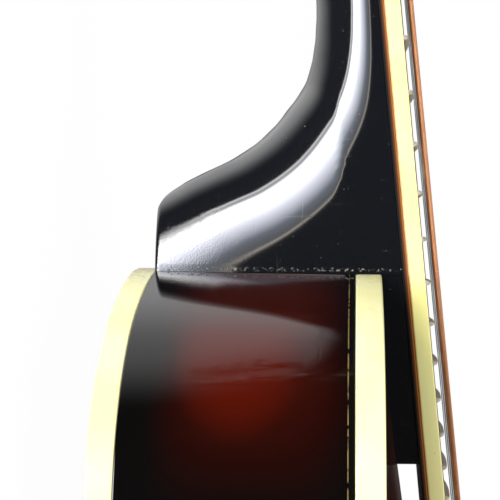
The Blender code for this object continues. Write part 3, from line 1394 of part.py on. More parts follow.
def stand_on_origin():
    """Moves the body frame so that the middle of the whole box's underside is the origin."""
    bpy.context.view_layer.update()
    graph = bpy.context.evaluated_depsgraph_get()
    low = Vector((1.0, 1.0, 1.0))
    high = -low
    for obj in PARTS.objects:
        if obj.type == "EMPTY":
            continue
        finished = obj.evaluated_get(graph)
        for vertex in finished.to_mesh().vertices:
            point = obj.matrix_world @ vertex.co
            low = Vector(map(min, low, point))
            high = Vector(map(max, high, point))
        finished.to_mesh_clear()
    BODY.location = (-(low.x + high.x) / 2, -(low.y + high.y) / 2, -low.z)


stand_on_origin()
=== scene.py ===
import math

import bpy
import numpy as np
from mathutils import Matrix, Vector


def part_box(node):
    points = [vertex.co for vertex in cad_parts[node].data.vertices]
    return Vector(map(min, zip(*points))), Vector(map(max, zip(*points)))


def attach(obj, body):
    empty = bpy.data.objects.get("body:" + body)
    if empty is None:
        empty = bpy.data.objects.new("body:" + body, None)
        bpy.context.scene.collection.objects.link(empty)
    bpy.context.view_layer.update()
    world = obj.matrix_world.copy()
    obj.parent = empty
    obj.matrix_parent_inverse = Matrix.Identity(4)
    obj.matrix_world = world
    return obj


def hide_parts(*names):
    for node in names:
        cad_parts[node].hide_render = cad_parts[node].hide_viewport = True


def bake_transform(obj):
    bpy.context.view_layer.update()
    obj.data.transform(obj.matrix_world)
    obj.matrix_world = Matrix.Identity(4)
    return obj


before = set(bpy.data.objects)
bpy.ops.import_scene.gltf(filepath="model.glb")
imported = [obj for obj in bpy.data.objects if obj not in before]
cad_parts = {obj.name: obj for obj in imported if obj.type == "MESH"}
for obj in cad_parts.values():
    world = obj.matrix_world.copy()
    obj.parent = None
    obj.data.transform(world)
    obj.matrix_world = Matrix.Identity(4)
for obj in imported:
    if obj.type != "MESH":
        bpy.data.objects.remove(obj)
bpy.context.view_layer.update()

body = {
    "length": 0.341, "width": 0.254, "depth": 0.0541, "topY": 0.003,
    "bindingWall": 0.0015, "topBinding": 0.0056, "backBinding": 0.0052, "bindingEase": 0.00055,
    "rimWall": 0.0026, "seatGap": 0.0003, "glue": 0.00005,
    "archHeight": 0.011, "archCentreY": -0.190, "plateThinning": 0.0014, "flatShare": 0.93,
    "halfOutline": (
        (0.000, 0.000), (0.236, 0.009), (0.488, 0.035), (0.655, 0.077), (0.740, 0.138),
        (0.822, 0.262), (0.915, 0.402), (0.988, 0.545), (0.992, 0.690), (0.880, 0.838),
        (0.648, 0.940), (0.335, 0.988), (0.000, 1.000),
    ),
}
# The body's frame starts at the middle of the top's upper edge at the neck joint.
bindingLow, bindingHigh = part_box("top_binding")
jointAt = np.array([(bindingLow.x + bindingHigh.x) / 2, bindingHigh.y - body["topY"], bindingHigh.z])
jointX, jointY, jointZ = (float(value) for value in jointAt)
tailY = body["topY"] - body["length"]
seatGap = body["seatGap"]
bothSides = (("bass", -1), ("treble", 1))


# Flat lines and profiles.
def fullTurn(count):
    return np.linspace(0, 2 * math.pi, count, endpoint=False)


def polar(reach, angle):
    return np.stack([reach * np.cos(angle), reach * np.sin(angle)], axis=-1)


def circle(radius, count, at=(0.0, 0.0)):
    return polar(radius, fullTurn(count)) + at


def hexagon(radius, count=48):
    # Six flats by polar angle: r = apothem / cos(angle to the nearest flat's middle).
    angle = fullTurn(count)
    fromFlat = (angle + math.pi / 6) % (math.pi / 3) - math.pi / 6
    return polar(radius * math.cos(math.pi / 6) / np.cos(fromFlat), angle)


def outlineNormals(outline):
    # Outward unit normals of a closed flat outline, from its two neighbours at each point.
    along = np.roll(outline, -1, axis=0) - np.roll(outline, 1, axis=0)
    along /= np.linalg.norm(along, axis=1, keepdims=True)
    normal = np.column_stack([along[:, 1], -along[:, 0]])
    x, y = outline.T
    area = np.sum(x * np.roll(y, -1) - np.roll(x, -1) * y)
    return normal if area > 0 else -normal


def roundedProfile(corners, radius, steps=4):
    # A closed polygon, each corner replaced by a quadratic curve that starts a radius away.
    corners = np.asarray(corners, float)
    t = np.linspace(0, 1, steps)[None, :, None]
    curve = 2 * t * (1 - t) * corners[:, None]
    for shift, weight in ((1, (1 - t) ** 2), (-1, t ** 2)):
        toward = np.roll(corners, shift, axis=0) - corners
        span = np.linalg.norm(toward, axis=1, keepdims=True)
        curve = curve + weight * (corners + toward / span * np.minimum(radius, span * 0.45))[:, None]
    return curve.reshape(-1, corners.shape[1])


def roundedBox(halfX, halfY, radius, steps=6):
    corners = [(-halfX, -halfY), (halfX, -halfY), (halfX, halfY), (-halfX, halfY)]
    return roundedProfile(corners, radius, steps)


def easedCorner(radius, top, ease):
    # A quarter circle from a flat top to a straight wall, as (radius, height).
    angle = np.linspace(0, math.pi / 2, 7)
    return np.column_stack([radius - ease + ease * np.sin(angle), top - ease + ease * np.cos(angle)])


def smoothCurve(control, steps, closed=True):
    # Catmull-Rom through the control points: each span is the cubic of its four neighbours.
    control = np.asarray(control, float)
    if closed:
        spans = [np.roll(control, -k, axis=0) for k in (-1, 0, 1, 2)]
    else:
        ends = [[2 * control[0] - control[1]], [2 * control[-1] - control[-2]]]
        padded = np.concatenate([ends[0], control, ends[1]])
        spans = [padded[k:len(padded) - 3 + k] for k in range(4)]
    before, start, end, after = (span[:, None, :] for span in spans)
    t = (np.arange(steps) / steps)[None, :, None]
    points = (
        2 * start + (end - before) * t + (2 * before - 5 * start + 4 * end - after) * t ** 2
        + (3 * start - before - 3 * end + after) * t ** 3
    ) / 2
    points = points.reshape(-1, control.shape[1])
    return points if closed else np.concatenate([points, control[-1:]])


def smoothStep(value):
    value = np.clip(value, 0, 1)
    return value * value * (3 - 2 * value)


# Shells: arrays of rings x points x 3 in the body's frame. A shell whose last ring is its first is a loop, and
# any other has a cap over each end.
def atHeight(flat, z):
    # Flat points with a height: one number, or one for each point or ring.
    z = np.asarray(z, float)[..., None]
    return np.concatenate([flat, np.broadcast_to(z, (*np.shape(flat)[:-1], 1))], axis=-1)


def sectionsAt(x, flats):
    # Sections of (y, z), each stood at its own x.
    return np.stack([np.column_stack([np.full(len(flat), at), flat]) for at, flat in zip(x, flats)])


def turnedRings(profile, sides):
    # A profile of (radius, height) carried round Z.
    profile = np.asarray(profile, float)
    return atHeight(polar(profile[:, :1], fullTurn(sides)), profile[:, 1:])


def prismRings(outline, low, high, bevel=0.0):
    # A flat outline as a plate between two heights, its edges eased by the bevel.
    inner = outline - outlineNormals(outline) * bevel
    levels = [(inner, low), (outline, low + bevel), (outline, high - bevel), (inner, high)]
    if bevel == 0.0:
        levels = levels[1:3]
    return np.stack([atHeight(flat, z) for flat, z in levels])


def holedRings(outer, inner, low, high, ease):
    # A plate with a hole as a loop of rings: hole, lower face, eased edge, upper face.
    eased = outer - outlineNormals(outer) * ease
    levels = [
        (inner, low), (eased, low), (outer, low + ease), (outer, high - ease), (eased, high), (inner, high),
        (inner, low),
    ]
    return np.stack([atHeight(flat, z) for flat, z in levels])


def threadRings(radius, pitch, depth, low, high, sides=28):
    # A rod with a helical groove: r = radius - depth * (1 + cos(2 pi z / pitch - angle)) / 2.
    z = np.arange(low, high, pitch / 8)[:, None]
    angle = fullTurn(sides)
    wave = (1 + np.cos(2 * math.pi * z / pitch - angle)) / 2
    return atHeight(polar(radius - depth * wave, angle), z)


def sweptRings(path, radius, sides, up):
    # A circle carried along a path, square to it; the radius may change from point to point.
    tangent = np.gradient(path, axis=0)
    tangent /= np.linalg.norm(tangent, axis=1, keepdims=True)
    sideways = np.cross(tangent, up)
    sideways /= np.linalg.norm(sideways, axis=1, keepdims=True)
    upright = np.cross(sideways, tangent)
    c, s = np.moveaxis(polar(1.0, fullTurn(sides))[None, :, :, None], 2, 0)
    reach = np.broadcast_to(np.asarray(radius, float), len(path))[:, None, None]
    return path[:, None] + reach * (c * sideways[:, None] + s * upright[:, None])


def screwHead(radius, height, turn):
    # A slotted head on z = 0: a disc, and on it two parts of a disc that leave a slot between them.
    slotFloor = height * 0.45
    start = math.asin(0.17)
    part = polar(radius, np.linspace(start, math.pi - start, 25))
    shells = [turnedRings([(radius, 0.0), (radius, slotFloor)], 40)]
    for side in (-1, 1):
        shells.append(prismRings(part * side, slotFloor - 0.00002, height, height * 0.22))
    c, s = math.cos(turn), math.sin(turn)
    return [rings @ np.array([(c, s, 0), (-s, c, 0), (0, 0, 1)]) for rings in shells]


# Meshes and pieces.
def toWorld(points):
    return np.asarray(points, float) + jointAt


def gridFaces(rows, columns, looped=False, closed=True):
    # Quads between neighbouring rings; a loop has a row more, and an open ring a column less.
    r = np.arange(rows if looped else rows - 1)[:, None]
    c = np.arange(columns if closed else columns - 1)[None, :]
    nextR, nextC = (r + 1) % rows, (c + 1) % columns
    corners = [r * columns + c, r * columns + nextC, nextR * columns + nextC, nextR * columns + c]
    return np.stack(corners, axis=-1).reshape(-1, 4)


def capFaces(rows, columns):
    # Fans over the first and the last ring, on the two middles that follow the rings' points.
    ring = np.arange(columns)
    after, last = (ring + 1) % columns, (rows - 1) * columns
    low, high = np.full(columns, rows * columns), np.full(columns, rows * columns + 1)
    return np.concatenate([
        np.stack([low, after, ring], axis=-1), np.stack([high, last + ring, last + after], axis=-1),
    ])


def shellsMesh(name, shells, sharpAngle):
    # One mesh of closed shells, the faces of each turned so that its volume is positive.
    points, quads, tris, first = [], [], [], 0
    for rings in shells:
        looped = np.allclose(rings[0], rings[-1], rtol=0, atol=1e-9)
        if looped:
            rings = rings[:-1]
        rows, columns = rings.shape[:2]
        corners, own, caps = rings.reshape(-1, 3), gridFaces(rows, columns, looped), np.zeros((0, 3), int)
        if not looped:
            corners = np.concatenate([corners, [rings[0].mean(axis=0), rings[-1].mean(axis=0)]])
            caps = capFaces(rows, columns)
        fans = np.concatenate([own[:, [0, 1, 2]], own[:, [0, 2, 3]], caps])
        a, b, c = ((corners - corners.mean(axis=0))[fans[:, k]] for k in range(3))
        turned = -1 if np.einsum("ij,ij->i", a, np.cross(b, c)).sum() < 0 else 1
        points.append(corners)
        quads.append(own[:, ::turned] + first)
        tris.append(caps[:, ::turned] + first)
        first += len(corners)
    points, quads, tris = (np.concatenate(parts) for parts in (points, quads, tris))
    sizes = np.concatenate([np.full(len(quads), 4), np.full(len(tris), 3)])
    loops = np.concatenate([quads.ravel(), tris.ravel()]).astype(np.int32)
    mesh = bpy.data.meshes.new(name)
    mesh.vertices.add(len(points))
    mesh.vertices.foreach_set("co", points.astype(np.float32).ravel())
    mesh.loops.add(len(loops))
    mesh.loops.foreach_set("vertex_index", loops)
    mesh.polygons.add(len(sizes))
    mesh.polygons.foreach_set("loop_start", (np.cumsum(sizes) - sizes).astype(np.int32))
    mesh.update(calc_edges=True)
    mesh.validate()
    mesh.shade_smooth()
    mesh.set_sharp_from_angle(angle=math.radians(sharpAngle))
    return mesh


def inScene(name, data):
    made = bpy.data.objects.new(name, data)
    bpy.context.scene.collection.objects.link(made)
    return made


def makePiece(name, shells, look, slot, *replaced, rides="instrument", sharpAngle=38):
    mesh = shellsMesh(name, [toWorld(rings) for rings in shells], sharpAngle)
    mesh.materials.append(finish[look])
    piece = inScene(name, mesh)
    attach(piece, rides)
    if replaced:
        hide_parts(*replaced)
    return piece


def addFloat(mesh, name, values):
    attribute = mesh.attributes.new(name, "FLOAT", "POINT")
    attribute.data.foreach_set("value", np.asarray(values, np.float32).ravel())


def cutHoles(piece, shapes, sharpAngle=38):
    # Takes closed shells out of a piece, and keeps the result as its mesh.
    cutters = []
    for rings in shapes:
        cutters.append(inScene("cutter", shellsMesh("cutter", [toWorld(rings)], 38)))
        boolean = piece.modifiers.new("hole", "BOOLEAN")
        boolean.operation, boolean.object, boolean.solver = "DIFFERENCE", cutters[-1], "EXACT"
    bpy.context.view_layer.update()
    evaluated = piece.evaluated_get(bpy.context.evaluated_depsgraph_get())
    holed = bpy.data.meshes.new_from_object(evaluated)
    piece.modifiers.clear()
    piece.data = holed
    holed.shade_smooth()
    holed.set_sharp_from_angle(angle=math.radians(sharpAngle))
    for cutter in cutters:
        bpy.data.objects.remove(cutter)


# Shaders.
class Socket:
    # A node socket that Python's own operators work on: each adds one Math node.
    def __init__(self, paint, link):
        self.paint, self.link = paint, link

    def math(self, operation, *others):
        inputs = dict(enumerate([self, *others]))
        return self.paint.node("ShaderNodeMath", {"operation": operation}, inputs)

    def __add__(self, other):
        return self.math("ADD", other)

    def __sub__(self, other):
        return self.math("SUBTRACT", other)

    def __rsub__(self, other):
        return self * -1.0 + other

    def __mul__(self, other):
        return self.math("MULTIPLY", other)

    __radd__, __rmul__ = __add__, __mul__

    def abs(self):
        return self.math("ABSOLUTE")

    def sin(self):
        return self.math("SINE")

    def least(self, other):
        return self.math("MINIMUM", other)

    def most(self, other):
        return self.math("MAXIMUM", other)

    def clamp(self):
        return self.paint.node("ShaderNodeClamp", {}, {"Value": self})

    def smooth(self, low, high):
        # 0 at low, 1 at high, an even S between; low may be the larger.
        inputs = {"Value": self, "From Min": low, "From Max": high, "To Min": 0.0, "To Max": 1.0}
        return self.paint.node("ShaderNodeMapRange", {"interpolation_type": "SMOOTHSTEP"}, inputs)


def opaque(value):
    return (*value, 1.0) if isinstance(value, tuple) and len(value) == 3 else value


class Paint:
    # One material or world: node() adds any node, the other methods are common uses of it.
    def __init__(self, name, owners="materials", shader="Principled BSDF", **fixed):
        self.material = getattr(bpy.data, owners).new(name)
        self.material.use_nodes = True
        self.tree = self.material.node_tree
        self.shader = self.tree.nodes[shader]
        self.wire(**fixed)

    def node(self, kind, settings, inputs, output=0):
        node = self.tree.nodes.new(kind)
        for key, value in settings.items():
            if key == "stops":
                self.setStops(node.color_ramp, value)
            else:
                setattr(node, key, value)
        for key, value in inputs.items():
            self.feed(node.inputs[key], value)
        return Socket(self, node.outputs[output])

    def feed(self, target, value):
        # Links a result to a socket, or sets a plain number, vector or colour on it.
        if isinstance(value, Socket):
            self.tree.links.new(value.link, target)
        else:
            target.default_value = value

    def wire(self, **values):
        for socket, value in values.items():
            self.feed(self.shader.inputs[socket.replace("_", " ")], opaque(value))
        return self.material

    def show(self, result):
        self.tree.links.new(result.link, self.tree.nodes["Material Output"].inputs["Surface"])
        return self.material

    def setStops(self, ramp, stops):
        while len(ramp.elements) < len(stops):
            ramp.elements.new(0.5)
        for element, (position, colour) in zip(ramp.elements, stops):
            element.position = position
            element.color = opaque(colour)

    def point(self):
        return self.node("ShaderNodeTexCoord", {}, {}, "Object")

    def split(self, vector):
        node = self.node("ShaderNodeSeparateXYZ", {}, {0: vector}).link.node
        return [Socket(self, node.outputs[k]) for k in range(3)]

    def scaled(self, vector, scale, turn=(0, 0, 0)):
        inputs = {"Vector": vector, "Rotation": turn, "Scale": scale}
        return self.node("ShaderNodeMapping", {}, inputs)

    def noise(self, vector, scale, detail=3.0, roughness=0.5, distortion=0.0):
        return self.node("ShaderNodeTexNoise", {}, {
            "Vector": vector, "Scale": scale, "Detail": detail, "Roughness": roughness,
            "Distortion": distortion,
        })

    def attribute(self, name):
        return self.node("ShaderNodeAttribute", {"attribute_name": name}, {}, "Fac")

    def ramp(self, value, *stops):
        return self.node("ShaderNodeValToRGB", {"stops": stops}, {0: value})

    def mix(self, share, first, second, blend="MIX"):
        settings = {"data_type": "RGBA", "blend_type": blend}
        return self.node("ShaderNodeMix", settings, {0: share, 6: opaque(first), 7: opaque(second)}, 2)

    def bump(self, height, after=None):
        inputs = {"Strength": 1.0, "Distance": 1.0, "Height": height}
        if after is not None:
            inputs["Normal"] = after
        return self.node("ShaderNodeBump", {}, inputs)


lacquer = {"ior": 1.78, "roughness": 0.07, "peelScale": 2300.0, "tipDepth": 0.0492}


def lacquerBump(paint, point, peel=0.00001):
    # Even waviness of a polished coat, with thin scratches: stretched noise cut to its crests.
    wave = paint.noise(point, 90.0, 2.0)
    scratchOne = paint.noise(paint.scaled(point, (14, 900, 60), (0.2, 0.1, 0.3)), 1.0, 1.0)
    scratchTwo = paint.noise(paint.scaled(point, (20, 90, 1100), (0.5, 0.0, 0.2)), 1.0, 1.0)
    lines = scratchOne.smooth(0.70, 0.76) + scratchTwo.smooth(0.71, 0.77)
    return paint.bump(wave * peel - lines * 0.0000025), lines


def makeBlackLacquer():
    # Near black with a blue cast, specks of glue along the joint, peel at the heel's tip.
    paint = Paint("blackLacquer", Roughness=lacquer["roughness"], IOR=lacquer["ior"])
    point = paint.point()
    _, y, z = paint.split(point)
    normal, lines = lacquerBump(paint, point)
    faceY, tipZ = jointY + body["topY"], jointZ - lacquer["tipDepth"]
    nearJoint = (y - (z * -0.004 + faceY)).abs().smooth(0.00045, 0.00012)
    overBody = z.smooth(tipZ + 0.052, tipZ + 0.0545) * y.smooth(faceY - 0.0002, faceY - 0.001)
    specks = paint.noise(point, 1500.0, 4.0, 0.7).smooth(0.56, 0.62) * nearJoint
    dust = paint.noise(point, 1500.0, 3.0, 0.7).smooth(0.70, 0.74)
    tip = (z.smooth(tipZ + 0.026, tipZ + 0.004) * y.smooth(faceY + 0.017, faceY + 0.004)).clamp()
    peel = paint.noise(point, lacquer["peelScale"], 2.0, 0.6)
    normal = paint.bump(peel * tip * 0.000028 + specks * 0.00010 + dust * 0.00001, normal)
    base = paint.mix(specks * 0.8, (0.004, 0.0045, 0.006), (0.42, 0.37, 0.30))
    base = paint.mix((dust * 0.35).clamp(), base, (0.32, 0.32, 0.30))
    base = paint.mix(overBody * 0.5, base, (0.003, 0.0028, 0.0026))
    rough = lines * 0.10 + specks * 0.4 + lacquer["roughness"] + overBody * 0.15
    return paint.wire(Base_Color=base, Roughness=rough.clamp(), Normal=normal)


def makeSideBurst():
    # Sides: red in the middle of the depth, black to both edges and past the shoulder; maple curl under it.
    paint = Paint("sideSunburst", IOR=1.55)
    point = paint.point()
    _, y, z = paint.split(point)
    across = (z - (jointZ - body["depth"] * 0.46)) * 44.0
    wander = paint.noise(point, 26.0, 2.0) - 0.5
    level = across * across * 1.35 + wander * 0.40
    # The red is a patch over each shoulder, and a fainter one further down the body.
    fromJoint = y * -1.0 + jointY
    red = level.smooth(1.05, 0.0) * (fromJoint.smooth(0.043, 0.012) + fromJoint.smooth(0.075, 0.150) * 0.85)
    red = red.clamp()
    curl = paint.noise(paint.scaled(point, (1, 1, 0.16)), 150.0, 2.0, 0.55)
    tone = paint.ramp(
        red, (0.0, (0.0014, 0.0012, 0.0011)), (0.35, (0.006, 0.0006, 0.0004)),
        (0.7, (0.014, 0.0010, 0.0005)), (1.0, (0.026, 0.0020, 0.0007)),
    )
    figured = paint.mix(curl, (0.008, 0.0006, 0.0003), (0.050, 0.007, 0.002))
    base = paint.mix(red * 0.30, tone, figured)
    # Over each shoulder a painted pool of light: the sunburst's real red is made brighter there.
    offLitPatch = (z - (jointZ - body["depth"] * 0.51)) * 74.0
    pastLitPatch = (fromJoint.most(0.012) - 0.012) * 58.0
    litPatchLevel = offLitPatch * offLitPatch + pastLitPatch * pastLitPatch + wander * 0.6
    clear = litPatchLevel.smooth(1.0, 0.0) * fromJoint.smooth(0.004, 0.011)
    base = paint.mix(clear, base, (0.057, 0.0030, 0.0004))
    # Under the top binding run a thin black line of painted shadow and a tan line.
    drop = z * -1.0 + (jointZ - body["topBinding"])
    shadowUnderBinding = drop.smooth(0.0011, 0.0009) * drop.smooth(0.0, 0.0001)
    tanLine = (drop - 0.00125).abs().smooth(0.00016, 0.00004)
    tanLine = tanLine * paint.noise(point, 500.0, 3.0, 0.6).smooth(0.38, 0.56)
    base = paint.mix(shadowUnderBinding, base, (0.002, 0.002, 0.002))
    base = paint.mix(tanLine * 0.75, base, (0.30, 0.20, 0.07))
    normal, lines = lacquerBump(paint, point)
    return paint.wire(Base_Color=base, Roughness=(lines * 0.08 + 0.075).clamp(), Normal=normal)


def edgeTone(paint, point, *stops):
    # Colour by how far out a point of the arch lies, with a wandering border.
    share = paint.attribute("edgeShare") + (paint.noise(point, 14.0, 2.0) - 0.5) * 0.10
    return paint.ramp(share, *stops)


def makeTopBurst():
    # Top: amber in the middle through red to black at the edge, with the straight grain of spruce along Y.
    paint = Paint("topSunburst", IOR=1.55)
    point = paint.point()
    tone = edgeTone(
        paint, point, (0.0, (0.52, 0.215, 0.030)), (0.38, (0.40, 0.130, 0.016)),
        (0.62, (0.190, 0.040, 0.006)), (0.80, (0.052, 0.0085, 0.003)), (0.95, (0.0045, 0.003, 0.003)),
    )
    grain = paint.noise(paint.scaled(point, (1.0, 0.012, 1.0)), 900.0, 2.0, 0.6)
    broad = paint.noise(paint.scaled(point, (1.0, 0.03, 1.0)), 160.0, 2.0)
    lines = grain.smooth(0.46, 0.66) * 0.5 + broad.smooth(0.40, 0.75) * 0.3
    base = paint.mix(lines * 0.75, tone, paint.mix(1.0, tone, (0.42, 0.24, 0.12), "MULTIPLY"))
    normal, scratches = lacquerBump(paint, point)
    normal = paint.bump(lines * -0.00001, normal)
    return paint.wire(Base_Color=base, Roughness=(scratches * 0.08 + 0.10).clamp(), Normal=normal)


def makeBackBurst():
    # Back: the same burst over two halves of curly maple, whose bars lean from the middle seam.
    paint = Paint("backSunburst", IOR=1.55)
    point = paint.point()
    x, y, _ = paint.split(point)
    tone = edgeTone(
        paint, point, (0.0, (0.42, 0.150, 0.022)), (0.42, (0.30, 0.075, 0.010)),
        (0.66, (0.130, 0.020, 0.004)), (0.82, (0.038, 0.005, 0.002)), (0.96, (0.0045, 0.003, 0.003)),
    )
    fromSeam = (x - jointX).abs()
    bent = y + fromSeam * 0.35 + (paint.noise(point, 22.0, 2.0) - 0.5) * 0.020
    bars = ((bent * 720.0).sin() * 0.5 + 0.5) * paint.noise(point, 60.0, 2.0).smooth(0.3, 0.7)
    fine = paint.noise(paint.scaled(point, (1.0, 0.02, 1.0)), 1300.0, 2.0)
    seam = fromSeam.smooth(0.0003, 0.0001)
    dark = (bars * 0.55 + fine.smooth(0.5, 0.7) * 0.2 + seam * 0.4).clamp()
    base = paint.mix(dark, tone, paint.mix(1.0, tone, (0.38, 0.26, 0.18), "MULTIPLY"))
    normal, scratches = lacquerBump(paint, point)
    return paint.wire(Base_Color=base, Roughness=(scratches * 0.08 + 0.09).clamp(), Normal=normal)


def makeBinding():
    # Aged celluloid: warm cream, yellower where the lacquer lies thick, brown dirt at the joint.
    paint = Paint("agedBinding", IOR=1.5)
    point = paint.point()
    y = paint.split(point)[1]
    cloud = paint.noise(point, 55.0, 3.0)
    streak = paint.noise(paint.scaled(point, (1.0, 0.10, 1.0)), 420.0, 3.0, 0.6)
    base = paint.mix(cloud.smooth(0.35, 0.7), (0.95, 0.90, 0.44), (0.97, 0.94, 0.54))
    base = paint.mix(streak.smooth(0.56, 0.80) * 0.22, base, (0.78, 0.64, 0.28))
    end = (y - (jointY + body["topY"])).abs().smooth(0.0042, 0.0)
    dirt = (end * paint.noise(point, 700.0, 4.0, 0.7).smooth(0.42, 0.70)).clamp()
    base = paint.mix(dirt * 0.6, base, (0.30, 0.19, 0.07))
    normal, lines = lacquerBump(paint, point, 0.000006)
    return paint.wire(Base_Color=base, Roughness=(lines * 0.12 + 0.16).clamp(), Normal=normal)


def makeBoardBinding():
    # The fingerboard's binding: the same cream with an amber line of lacquer along its lower edge.
    paint = Paint("boardBinding", IOR=1.5)
    point = paint.point()
    height = paint.attribute("edgeHeight")
    cloud = paint.noise(point, 70.0, 3.0)
    base = paint.mix(cloud.smooth(0.35, 0.7), (0.97, 0.90, 0.34), (0.96, 0.90, 0.42))
    # Past the joint the binding is darker and greener.
    past = paint.split(point)[1].smooth(jointY + 0.004, jointY - 0.026)
    base = paint.mix(past * 0.75, base, (0.84, 0.80, 0.36))
    amber = (height + (paint.noise(point, 300.0, 3.0) - 0.5) * 0.05).smooth(0.17, 0.02)
    base = paint.mix(amber, base, (0.33, 0.085, 0.012))
    spots = paint.noise(point, 1200.0, 3.0, 0.6).smooth(0.68, 0.76)
    base = paint.mix(spots * 0.3, base, (0.45, 0.34, 0.16))
    normal, lines = lacquerBump(paint, point, 0.000006)
    return paint.wire(Base_Color=base, Roughness=(lines * 0.12 + 0.18).clamp(), Normal=normal)


def makeRosewood():
    # Fingerboard wood: dark brown with long open pores, redder where the edge is lacquered.
    paint = Paint("rosewood", IOR=1.45)
    along = paint.scaled(paint.point(), (1.0, 0.035, 1.0))
    bands = paint.noise(along, 210.0, 4.0, 0.6)
    pores = paint.noise(along, 1500.0, 2.0, 0.5).smooth(0.60, 0.68)
    base = paint.mix(bands.smooth(0.3, 0.7), (0.030, 0.011, 0.007), (0.085, 0.030, 0.016))
    base = paint.mix(pores * 0.8, base, (0.008, 0.004, 0.003))
    edge = paint.attribute("edgeHeight")
    for low, high, colour in (
        (0.05, 0.12, (0.006, 0.006, 0.007)), (0.42, 0.58, (0.085, 0.024, 0.005)),
        (0.72, 0.96, (0.40, 0.135, 0.016)),
    ):
        base = paint.mix(edge.smooth(low, high), base, colour)
    normal = paint.bump(pores * -0.00004)
    return paint.wire(Base_Color=base, Roughness=(pores * 0.2 + 0.38).clamp(), Normal=normal)


def makeInnerWood():
    # Unfinished wood inside the body: pale, with faint grain and saw marks.
    paint = Paint("innerWood", IOR=1.4)
    grain = paint.noise(paint.scaled(paint.point(), (1.0, 0.05, 1.0)), 500.0, 3.0, 0.6)
    base = paint.mix(grain.smooth(0.35, 0.7), (0.60, 0.41, 0.22), (0.44, 0.28, 0.14))
    normal = paint.bump(grain * 0.00006)
    return paint.wire(Base_Color=base, Roughness=(grain * 0.1 + 0.62).clamp(), Normal=normal)


def makeNickel(name, tint, roughness, haze):
    # Old nickel plate: fine brushing, cloudy tarnish that is browner and duller.
    paint = Paint(name, Metallic=1.0)
    point = paint.point()
    cloud = paint.noise(point, haze, 4.0, 0.6)
    fine = paint.noise(paint.scaled(point, (1.0, 0.08, 1.0)), 2600.0, 2.0)
    tarnish = cloud.smooth(0.48, 0.74)
    darker = tuple(channel * factor for channel, factor in zip(tint, (0.66, 0.58, 0.46)))
    base = paint.mix(tarnish * 0.7, tint, darker)
    rough = (tarnish * 0.18 + fine * 0.06 + roughness).clamp()
    return paint.wire(Base_Color=base, Roughness=rough, Normal=paint.bump(fine * 0.000004 + cloud * 0.000006))


def makeWoundString():
    # Wrap wire: a helix of round turns, cut from the length along the string and the angle round it.
    paint = Paint("woundString", Metallic=0.35, Roughness=0.34)
    along, around = paint.attribute("along"), paint.attribute("aroundAngle")
    turn = (along * (math.pi / 0.00044) + around * 0.5).sin().abs()
    cloud = paint.noise(paint.point(), 160.0, 3.0)
    copper = paint.mix(cloud.smooth(0.4, 0.7), (0.80, 0.36, 0.17), (0.66, 0.31, 0.16))
    # Painted shade: the grooves between the turns are darkened.
    base = paint.mix(turn.smooth(0.60, 0.05), copper, (0.16, 0.055, 0.022))
    return paint.wire(Base_Color=base, Normal=paint.bump(turn * 0.00009))


def makeCreamButton():
    paint = Paint("creamButton", IOR=1.5, Roughness=0.22)
    point = paint.point()
    cloud = paint.noise(point, 130.0, 3.0, 0.6)
    swirl = paint.noise(point, 320.0, 2.0, 0.5, 1.5)
    base = paint.mix(cloud.smooth(0.35, 0.65), (0.86, 0.78, 0.52), (0.78, 0.66, 0.38))
    base = paint.mix(swirl.smooth(0.55, 0.75) * 0.35, base, (0.92, 0.88, 0.70))
    return paint.wire(Base_Color=base, Normal=paint.bump(cloud * 0.00002))


def makeTwoTone(name, first, second, scale, roughness, metallic=0.0, grain=(1, 1, 1), depth=0.00002):
    # Noise mixes two tones, moves the roughness a little and lifts the surface.
    paint = Paint(name, IOR=1.5, Metallic=metallic)
    cloud = paint.noise(paint.scaled(paint.point(), grain), scale, 4.0, 0.6)
    base = paint.mix(cloud.smooth(0.35, 0.68), first, second)
    rough = (cloud * 0.10 + (roughness - 0.05)).clamp()
    return paint.wire(Base_Color=base, Roughness=rough, Normal=paint.bump(cloud * depth))


finish = {
    "lacquer": makeBlackLacquer(),
    "side": makeSideBurst(),
    "top": makeTopBurst(),
    "back": makeBackBurst(),
    "binding": makeBinding(),
    "boardBinding": makeBoardBinding(),
    "rosewood": makeRosewood(),
    "inner": makeInnerWood(),
    "nickel": makeNickel("agedNickel", (0.73, 0.70, 0.64), 0.16, 120.0),
    "screw": makeNickel("screwNickel", (0.66, 0.62, 0.55), 0.24, 600.0),
    "wound": makeWoundString(),
    "cream": makeCreamButton(),
    "fret": makeTwoTone("fretSilver", (0.74, 0.68, 0.54), (0.50, 0.44, 0.33), 1500.0, 0.34, 0.45),
    "steel": makeTwoTone("plainSteel", (0.70, 0.78, 0.82), (0.58, 0.64, 0.68), 400.0, 0.30, 0.35),
    "ebony": makeTwoTone(
        "ebony", (0.020, 0.016, 0.014), (0.034, 0.025, 0.020), 700.0, 0.34, 0.0, (0.04, 1, 1), 0.00003
    ),
    "bone": makeTwoTone("bone", (0.86, 0.80, 0.62), (0.76, 0.67, 0.46), 260.0, 0.36, 0.0, (0.3, 1, 1)),
    "blackPlastic": makeTwoTone(
        "blackPlastic", (0.010, 0.010, 0.010), (0.018, 0.017, 0.016), 300.0, 0.22, depth=0.000004
    ),
    "pearl": makeTwoTone("pearlInlay", (0.80, 0.80, 0.74), (0.62, 0.68, 0.66), 420.0, 0.18, depth=0.00001),
    "paintedMark": makeTwoTone("paintedMark", (0.80, 0.74, 0.55), (0.70, 0.63, 0.44), 800.0, 0.45),
}
print("materials:", len(finish))


# Body.
def bodyOutline(steps):
    # The half outline and its mirror image, as one curve from the joint round the treble side.
    half = np.array(body["halfOutline"]) * [body["width"] / 2, -body["length"]] + [0, body["topY"]]
    return smoothCurve(np.concatenate([half, half[-2:0:-1] * [-1, 1]]), steps)


outline = bodyOutline(16)
outward = outlineNormals(outline)
centre = np.array([0.0, body["archCentreY"]])


def insetBy(distance):
    return outline - outward * distance


